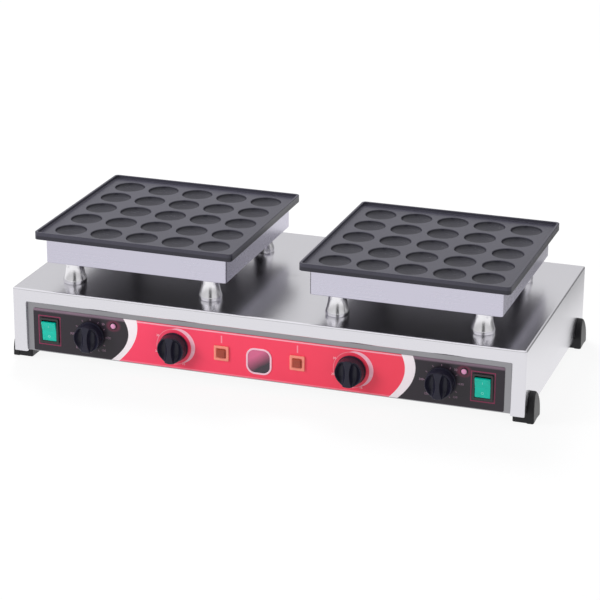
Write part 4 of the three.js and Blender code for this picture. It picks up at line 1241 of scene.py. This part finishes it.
class GRILL_OT_switches(bpy.types.Operator):
    """Make the rocker switches: bezel, pocket and a two-faced translucent rocker with I and O."""
    bl_idname = "grill.switches"
    bl_label = "Rocker Switches"

    def execute(self, context):
        _, _, controls = sizes(context)
        colours = context.scene.grill_colours
        black = moulded_plastic("switch_plastic", colours.black, 0.28, coat_weight=0.2,
                                coat_roughness=0.15)
        green = lamp_plastic("green_lens", colours.green, 0.18)
        ink = moulded_plastic("switch_ink", colours.switch_ink, 0.4, grain=0.03)
        for side in SIDES:
            node = f"{side}_switch_housing"
            low, high = span(node)
            middle, height = centre(node)[0], controls.controls_height
            plane = low[1] + controls.bezel_thickness
            place = Matrix.Translation((middle, plane, height)) @ FACE_FORWARD
            part = self.housing(controls, (high - low) / 2, high[1] - plane)
            make_piece(f"{side}_switch_frame", [moved(part, place)], black, stands_for=(node,))
            tip = Matrix.Translation((middle, controls.pivot_depth, height)) @ FACE_FORWARD
            tip = tip @ Matrix.Rotation(ROCKER_TILT, 4, "X")
            make_piece(f"{side}_rocker_lens", [moved(self.rocker(controls), tip)], green,
                       stands_for=(f"{side}_switch_rocker",), shaped=[rounding(controls.rocker_edge, 3, 40)])
            marks = [moved(mark, tip) for mark in self.marks(controls)]
            make_piece(f"{side}_rocker_marks", marks, ink, ride_on=body_with(f"{side}_switch_rocker"))
        return {"FINISHED"}

    @staticmethod
    def housing(controls, half, depth):
        """A profile of half width and level carried round the opening, from the back to the pocket floor.

        The blades behind the box keep the frame's depth. Corners get rounder outwards.
        """
        corner_radius, least_radius = 1.2 * MM, 0.3 * MM
        box_x, box_y = half[0] - controls.bezel, half[2] - controls.bezel
        wall, thickness = controls.switch_wall, controls.bezel_thickness
        back = controls.switch_blade - depth
        corners = [(-wall, back), (0, back), (0, 0), (controls.bezel, 0), (controls.bezel, thickness),
                   (-wall, thickness), (-wall, -controls.switch_floor)]
        radii = [0.4 * MM, 0, 0.3 * MM, 0.9 * MM, 0.5 * MM]
        profile = filleted(corners, radii, 4)
        corner = np.maximum(corner_radius + profile[:, 0] * 0.6, least_radius)
        rings = rounded_rings(box_x + profile[:, 0], box_y + profile[:, 0], corner, 7)
        return capped(stacked(rings, profile[:, 1]))

    @staticmethod
    def level(controls, y):
        """Height of a rocker's faces over its pin: crest + tan(tilt) (sqrt(y^2 + a^2) - a)."""
        valley = controls.rocker_valley
        return controls.rocker_crest + math.tan(ROCKER_TILT) * (np.sqrt(y ** 2 + valley ** 2) - valley)

    def rocker(self, controls):
        """Side view drawn out across the width: the two faces, the ends and the flat heel."""
        half, heel = controls.rocker_height / 2, controls.rocker_heel
        y = np.linspace(-half, half, 33)
        face = self.level(controls, y)
        outline = np.array([*zip(y, face), (half, face[-1] - heel), (controls.heel_half, -heel),
                            (-controls.heel_half, -heel), (-half, face[0] - heel)])
        width = controls.rocker_width / 2
        rows = np.stack([np.concatenate([np.full((len(outline), 1), x), outline], axis=1)
                         for x in (-width, width)])
        return capped(rows)

    def marks(self, controls):
        """A bar on the upper face and a ring on the lower face, each a thin solid that follows its face."""
        half_length, half_width, ring_bore, corner = 1.8 * MM, 0.35 * MM, 1.2 * MM, 0.2 * MM
        under, over = -0.3 * MM, 0.05 * MM
        slope = math.radians(7.6)
        reach = controls.rocker_height * 0.27
        lift = self.level(controls, reach) + 0.02 * MM
        flat = rounded_rings([half_width] * 2, half_length, corner, 4)
        bar = capped(stacked(flat, [under, over]))
        loop = [(half_length, under), (half_length, over), (ring_bore, over), (ring_bore, under)]
        ring = lathe(loop, 40, close=True)
        upper = Matrix.Translation((0, reach, lift)) @ Matrix.Rotation(slope, 4, "X")
        lower = Matrix.Translation((0, -reach, lift)) @ Matrix.Rotation(-slope, 4, "X")
        return [moved(bar, upper), moved(ring, lower)]


class GRILL_OT_lamps(bpy.types.Operator):
    """Make the square amber lamps and the small round pink lamps."""
    bl_idname = "grill.lamps"
    bl_label = "Lamps"

    def execute(self, context):
        _, _, controls = sizes(context)
        colours = context.scene.grill_colours
        cream = lamp_plastic("lamp_frame", colours.cream, 0.10)
        amber = lamp_plastic("amber_lens", colours.amber, 0.08)
        pink = lamp_plastic("pink_lens", colours.pink, 0.35)
        black = moulded_plastic("lamp_bezel", colours.black, 0.3)
        for side in SIDES:
            self.square(controls, side, cream, amber)
            self.round(controls, side, pink, black)
        return {"FINISHED"}

    def square(self, controls, side, cream, amber):
        """A turned barrel that goes over into a stepped square frame, with a lens in it."""
        node = f"{side}_pilot_lamp"
        low, high = span(node)
        half, lens = (high[0] - low[0]) / 2, controls.lens_width / 2
        thickness, barrel, radius = controls.lamp_frame, controls.lamp_barrel, controls.square_barrel
        seat, ramp, groove = thickness * 0.55, lens + 1.4 * MM, lens + 0.2 * MM
        place = Matrix.Translation((centre(node)[0], high[1] - barrel, controls.controls_height))
        corners = [(0, -barrel), (radius, -barrel), (radius, 0), (half, 0), (half, thickness),
                   (ramp, thickness * 1.15), (groove, seat), (0, seat)]
        radii = [0, 0, 0.3 * MM, 0.7 * MM, 0.6 * MM, 0.1 * MM]
        profile = filleted(corners, radii, 4)
        reach, level = profile[:, 0], profile[:, 1]
        corner = np.where(reach <= radius + 0.1 * MM, reach, np.clip(reach * 0.14, 0, 1.5 * MM))
        frame_part = tube(stacked(rounded_rings(reach, reach, corner, 9), level))
        make_piece(f"{side}_lamp_frame", [moved(frame_part, place @ FACE_FORWARD)], cream,
                   stands_for=(node,))
        cushion = moved(self.cushion(controls, lens), place @ FACE_FORWARD)
        make_piece(f"{side}_amber_lens", [cushion], amber)

    @staticmethod
    def cushion(controls, half):
        """A closed lens on a square grid: z = rise sqrt((1 - u^6)(1 - v^6)) over the frame's front."""
        count = 25
        u, v = np.meshgrid(*[np.linspace(-1, 1, count)] * 2)
        top = controls.lamp_frame + controls.lens_rise * ((1 - u ** 6) * (1 - v ** 6)) ** 0.5
        front = np.stack([u * half, v * half, top], axis=-1).reshape(-1, 3)
        grid = np.arange(count * count).reshape(count, count)
        rim = np.concatenate([grid[0], grid[1:, -1], grid[-1, -2::-1], grid[-2:0:-1, 0]])
        back = front[rim] * np.array([1, 1, 0]) + np.array([0, 0, controls.lamp_frame * 0.6])
        base = len(front) + np.arange(len(rim))
        walls = np.stack([rim, np.roll(rim, -1), np.roll(base, -1), base], axis=-1)
        return np.concatenate([front, back]), [grid_faces(count, count), walls, base[None]]

    @staticmethod
    def round(controls, side, pink, black):
        """A turned barrel and dome in a black bezel."""
        node = f"{side}_indicator_lamp"
        low, high = span(node)
        middle = centre(node)
        barrel, radius, rim = controls.lamp_barrel, controls.round_lamp, controls.round_rim
        rise = high[1] - barrel - low[1]
        turn = np.linspace(0, math.pi / 2, 8)
        dome = np.stack([radius * np.cos(turn), rim + (rise - rim) * np.sin(turn)], axis=-1)
        place = Matrix.Translation((middle[0], high[1] - barrel, middle[2])) @ FACE_FORWARD
        body = lathe(np.concatenate([[(0, -barrel), (radius, -barrel)], dome]), 40)
        make_piece(f"{side}_round_lamp", [moved(body, place)], pink, stands_for=(node,))
        inner, outer = radius + 0.1 * MM, controls.round_bezel
        corners = [(inner, rim / 2), (inner, 0), (outer, 0), (outer, rim), (inner, rim), (inner, rim / 2)]
        radii = [0, 0.2 * MM, 0.5 * MM, 0.3 * MM]
        ring = lathe(filleted(corners, radii, 4)[:-1], 40, close=True)
        make_piece(f"{side}_lamp_bezel", [moved(ring, place)], black)


class GRILL_OT_badge(bpy.types.Operator):
    """Make the blank badge between the lamps: a pale frame round a plain shaded field."""
    bl_idname = "grill.badge"
    bl_label = "Blank Badge"

    def execute(self, context):
        _, _, controls = sizes(context)
        colours = context.scene.grill_colours
        overlap, edge, field_thickness = 0.1 * MM, 0.35 * MM, 0.35 * MM
        half_x, half_y = controls.badge_width / 2, controls.badge_height / 2
        width, rise = controls.badge_frame, controls.badge_rise
        plane = span("panel_overlay")[0][1] - 0.05 * MM
        place = Matrix.Translation((controls.badge_x, plane, controls.badge_z)) @ FACE_FORWARD
        corners = [(0, 0), (-width, 0), (-width, rise), (0, rise), (0, 0.01 * MM)]
        profile = filleted(corners, [0, edge, edge], 4)
        reach, level = profile[:, 0], profile[:, 1]
        rings = rounded_rings(half_x + reach, half_y + reach, controls.badge_corner + reach, 13)
        pale = moulded_plastic("badge_frame", colours.badge_pale, 0.3, grain=0.03, coat_weight=0.3)
        make_piece("badge_frame", [moved(tube(stacked(rings, level), True), place)], pale)
        inset = overlap - width
        rings = rounded_rings([half_x + inset] * 2, half_y + inset, controls.badge_corner + inset, 13)
        field = capped(stacked(rings, [0, field_thickness]))
        make_piece("badge_field", [moved(field, place)], self.shaded(controls, colours))
        return {"FINISHED"}

    @staticmethod
    def shaded(controls, colours):
        """A plain field that goes over from rose at the top left to a dark foot."""
        finish = Finish("badge_field", coat_weight=0.4, coat_roughness=0.2)
        x, _, z = finish.axes(1 / MM)
        cloud = finish.noise(60.0)
        across, up = x - controls.badge_x / MM, z - controls.badge_z / MM
        shade = (across * 0.03 - up * 0.045 + cloud * 0.2 + 0.42).clamped()
        finish.set("Base Color", finish.mix(shade, colours.badge_light, colours.badge_dark))
        finish.set("Roughness", cloud * 0.08 + 0.22)
        return finish


class GRILL_OT_gland(bpy.types.Operator):
    """Make the supply gland: chamfered hexagons, a domed nut and a bore right through."""
    bl_idname = "grill.gland"
    bl_label = "Supply Gland"

    def execute(self, context):
        _, base, _ = sizes(context)
        low, high = span("cable_gland")
        middle = centre("cable_gland")
        start = span("casing")[1][1] + base.gland_gap
        part = lathe(self.profile(base, start - low[1], high[1] - start), 72, polygon=6)
        place = Matrix.Translation((middle[0], start, middle[2])) @ FACE_BACK
        finish = moulded_plastic("gland_plastic", context.scene.grill_colours.black, 0.45, grain=0.3)
        make_piece("supply_gland", [moved(part, place)], finish, stands_for=("cable_gland",))
        return {"FINISHED"}

    @staticmethod
    def profile(base, back, reach):
        """Rows of (radius, level, flat) from the bore's back end round the outside to its front end.

        Where flat isn't 0 the row is a hexagon. The nut's dome is a quarter of an ellipse,
        r = 7.6 + 4.4 cos(t) in millimetres.
        """
        bore, thread, flat, nut = base.gland_bore, base.gland_thread, base.gland_flat, base.gland_nut
        side, point, chamfer = 13 * MM, 13.9 * MM, 0.7 * MM
        lock_back, lock_front = -6.9 * MM, -1.9 * MM
        dome_start = 2 * nut

        def hexagon(low, high):
            return [(thread, low, 0), (side, low, flat), (point, low + chamfer, flat),
                    (point, high - chamfer, flat), (side, high, flat)]

        dome = [(7.6 * MM + 4.4 * MM * math.cos(t), dome_start + (reach - dome_start) * math.sin(t), 0)
                for t in np.linspace(0, math.pi / 2, 9)]
        return [(bore, -back, 0), (thread, -back, 0), (thread, lock_back - 0.4 * MM, 0),
                *hexagon(lock_back, lock_front), (thread, lock_front, 0), *hexagon(0, nut),
                (11.9 * MM, nut, 0), (12 * MM, nut + 1 * MM, 0), *dome, (6 * MM, reach - 0.3 * MM, 0),
                (bore, reach - 1.5 * MM, 0), (bore, -back, 0)]


class GRILL_OT_inner_parts(bpy.types.Operator):
    """Finish the pieces inside: heaters, clamps, wool, controls, bolts, shafts and terminals."""
    bl_idname = "grill.inner_parts"
    bl_label = "Inner Parts"

    def execute(self, context):
        both = [(side, kind) for side in SIDES for kind in DIALS]
        dress([f"{side}_heating_element" for side in SIDES],
              plain_metal("heater_sheath", (0.16, 0.15, 0.145), 0.5))
        dress([f"{side}_clamp_plate" for side in SIDES], plain_metal("clamp_steel", (0.40, 0.40, 0.42), 0.45))
        dress([f"{side}_insulation" for side in SIDES], wool_board("mineral_wool", (0.66, 0.60, 0.44)))
        dress([f"{side}_{kind}" for side, kind in both], plain_metal("control_can", (0.45, 0.45, 0.46), 0.4))
        dress([f"{side}_{kind}_shaft" for side, kind in both],
              plain_metal("shaft_steel", (0.55, 0.55, 0.56), 0.3))
        dress([f"{side}_bolt_{corner}" for side in SIDES for corner in CORNERS],
              plain_metal("zinc_plate", (0.60, 0.61, 0.63), 0.35))
        dress(["terminal_block"], fired_ceramic("terminal_ceramic", (0.78, 0.74, 0.66)))
        return {"FINISHED"}


class GRILL_OT_stage(bpy.types.Operator):
    """Set up the camera, the pale floor, the white surroundings and the soft lights."""
    bl_idname = "grill.stage"
    bl_label = "Stage"

    def execute(self, context):
        scene = context.scene
        scene.view_settings.view_transform = "Standard"
        self.camera(scene)
        self.floor(scene)
        self.world(scene)
        self.light(scene, "rear", (-0.8, 1.5, 2.3), (0.0, 0.0, 0.1), 0.9, 55.0)
        self.light(scene, "left", (-2.4, -1.8, 1.2), (0.0, 0.0, 0.1), 1.2, 52.0)
        return {"FINISHED"}

    @staticmethod
    def camera(scene):
        """A long lens, turned and tipped from straight ahead, and rolled a little."""
        place = (1.0152, -3.0398, 1.2435)
        turn, tip, roll = math.radians(-18.56), math.radians(20.05), math.radians(0.41)
        ahead = Vector((math.sin(turn) * math.cos(tip), math.cos(turn) * math.cos(tip), -math.sin(tip)))
        right = ahead.cross(Vector((0, 0, 1))).normalized()
        up = right.cross(ahead)
        rolled_right = right * math.cos(roll) + up * math.sin(roll)
        rolled_up = up * math.cos(roll) - right * math.sin(roll)
        data = bpy.data.cameras.new("camera")
        data.sensor_width = 36.0
        data.lens = 139.2
        camera = bpy.data.objects.new("camera", data)
        turned = Matrix((rolled_right, rolled_up, -ahead)).transposed()
        camera.matrix_world = Matrix.Translation(place) @ turned.to_4x4()
        scene.collection.objects.link(camera)
        scene.camera = camera

    @staticmethod
    def floor(scene):
        """A wide pale plane: nearly white to the camera with a soft shadow, and lit white in mirrors.

        In mirrors it is dimmer behind the object's right side. The camera sees mostly its plain glow.
        """
        reach, glow_share, glow_strength, dimmed = 9.0, 0.86, 1.03, 0.85
        mesh = bpy.data.meshes.new("floor")
        mesh.from_pydata([(-reach, -reach, 0), (reach, -reach, 0), (reach, reach, 0), (-reach, reach, 0)],
                         [], [(0, 1, 2, 3)])
        material = bpy.data.materials.new("pale_floor")
        nodes = Nodes(material)
        card = nodes.node("BsdfDiffuse", None, {"Color": (0.82, 0.82, 0.82)})
        glow = nodes.node("Emission", None, {"Color": (1, 1, 1), "Strength": glow_strength})
        seen = nodes.node("LightPath", output="Is Camera Ray") * glow_share
        pale = nodes.node("MixShader", None, {0: seen, 1: card, 2: glow})
        x, y, _ = nodes.parts(nodes.node("TexCoord", output="Object"))
        shade = x.above(0.46, 0.12) * y.above(0.2, 0.35)
        lit = nodes.node("Emission", None, {"Color": (1, 1, 1), "Strength": 1.0 - shade * dimmed})
        mirrored = nodes.node("LightPath", output="Is Glossy Ray")
        nodes.finished(nodes.node("MixShader", None, {0: mirrored, 1: pale, 2: lit}), "OutputMaterial")
        mesh.materials.append(material)
        floor = bpy.data.objects.new("floor", mesh)
        scene.collection.objects.link(floor)

    @staticmethod
    def world(scene):
        """White to the camera, plain grey light for dull surfaces, and a lit studio in mirrors.

        In mirrors the walls near the horizon are grey and the ceiling is bright. A dark gap stands
        where the camera is, a dim curtain hangs low behind the right, and everything is a little dimmer
        behind the object.
        """
        wall_dimmed, ceiling_lifted, gap_dimmed, curtain_dimmed = 0.45, 0.2, 0.88, 0.48
        world = bpy.data.worlds.new("white_surroundings")
        nodes = Nodes(world)
        ambient = nodes.node("Background", None, {"Color": (0.56, 0.56, 0.58)})
        white = nodes.node("Background", None, {"Color": (1, 1, 1)})
        x, y, z = nodes.parts(nodes.node("TexCoord", output="Generated"))
        level = (x * x + y * y) ** 0.5
        place = scene.camera.location
        ahead = Vector((place.x, place.y)).normalized()
        toward = (x * ahead.x + y * ahead.y) / level
        aside = (y * ahead.x - x * ahead.y) / level
        gap = toward.above(0.0, 0.1) * abs(aside).below(0.25, 0.08) * z.above(-0.5, 0.2)
        wall = z.above(-0.02, 0.06) * z.below(0.28, 0.4)
        ceiling = z.above(0.75, 0.5)
        curtain = x.above(0.16, 0.2) * y.above(0.4, 0.4) * z.above(0.05, 0.1) * z.below(0.5, 0.2)
        bright = ((toward * 0.07 + 0.98) * (1 - wall * wall_dimmed + ceiling * ceiling_lifted)
                  * (1 - gap * gap_dimmed) * (1 - curtain * curtain_dimmed))
        studio = nodes.node("Background", None, {"Color": (1, 1, 1), "Strength": bright})
        camera_ray = nodes.node("LightPath", output="Is Camera Ray")
        glossy_ray = nodes.node("LightPath", output="Is Glossy Ray")
        lit = nodes.node("MixShader", None, {0: glossy_ray, 1: ambient, 2: studio})
        nodes.finished(nodes.node("MixShader", None, {0: camera_ray, 1: lit, 2: white}), "OutputWorld")
        scene.world = world

    @staticmethod
    def light(scene, name, place, target, width, power):
        """A square soft light that looks at a point and isn't seen in mirrors."""
        data = bpy.data.lights.new(name, "AREA")
        data.size = width
        data.energy = power
        lamp = bpy.data.objects.new(name, data)
        lamp.location = place
        aim = Vector(target) - Vector(place)
        lamp.rotation_mode = "QUATERNION"
        lamp.rotation_quaternion = aim.to_track_quat("-Z", "Y")
        lamp.visible_glossy = False
        scene.collection.objects.link(lamp)


class GRILL_PT_panel(bpy.types.Panel):
    """Lists the grill's pieces and their sizes and colours."""
    bl_label = "Mini Pancake Grill"
    bl_idname = "GRILL_PT_panel"
    bl_space_type = "VIEW_3D"
    bl_region_type = "UI"
    bl_category = "Grill"

    def draw(self, context):
        layout = self.layout
        for step in STEPS:
            layout.operator(step.bl_idname)
        for group in (getattr(context.scene, name) for name in GROUPS):
            box = layout.box()
            for name in group.__annotations__:
                box.prop(group, name)


GROUPS = {"grill_plate": PlateSizes, "grill_base": BaseSizes, "grill_controls": ControlSizes,
          "grill_print": PrintSizes, "grill_colours": GrillColours}
STEPS = (GRILL_OT_stage, GRILL_OT_casing, GRILL_OT_feet, GRILL_OT_legs, GRILL_OT_boxes,
         GRILL_OT_baking_plates, GRILL_OT_overlay, GRILL_OT_dial_numbers, GRILL_OT_badge, GRILL_OT_knobs,
         GRILL_OT_switches, GRILL_OT_lamps, GRILL_OT_gland, GRILL_OT_inner_parts)


def register():
    """Registers the property groups, the operators and the panel."""
    for name, group in GROUPS.items():
        bpy.utils.register_class(group)
        setattr(bpy.types.Scene, name, PointerProperty(type=group))
    for step in (*STEPS, GRILL_PT_panel):
        bpy.utils.register_class(step)


def unregister():
    """Takes away what register added."""
    for step in reversed((*STEPS, GRILL_PT_panel)):
        bpy.utils.unregister_class(step)
    for name, group in reversed(GROUPS.items()):
        delattr(bpy.types.Scene, name)
        bpy.utils.unregister_class(group)


def main():
    """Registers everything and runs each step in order."""
    register()
    for step in STEPS:
        area, name = step.bl_idname.split(".")
        getattr(getattr(bpy.ops, area), name)()


if __name__ == "__main__":
    main()
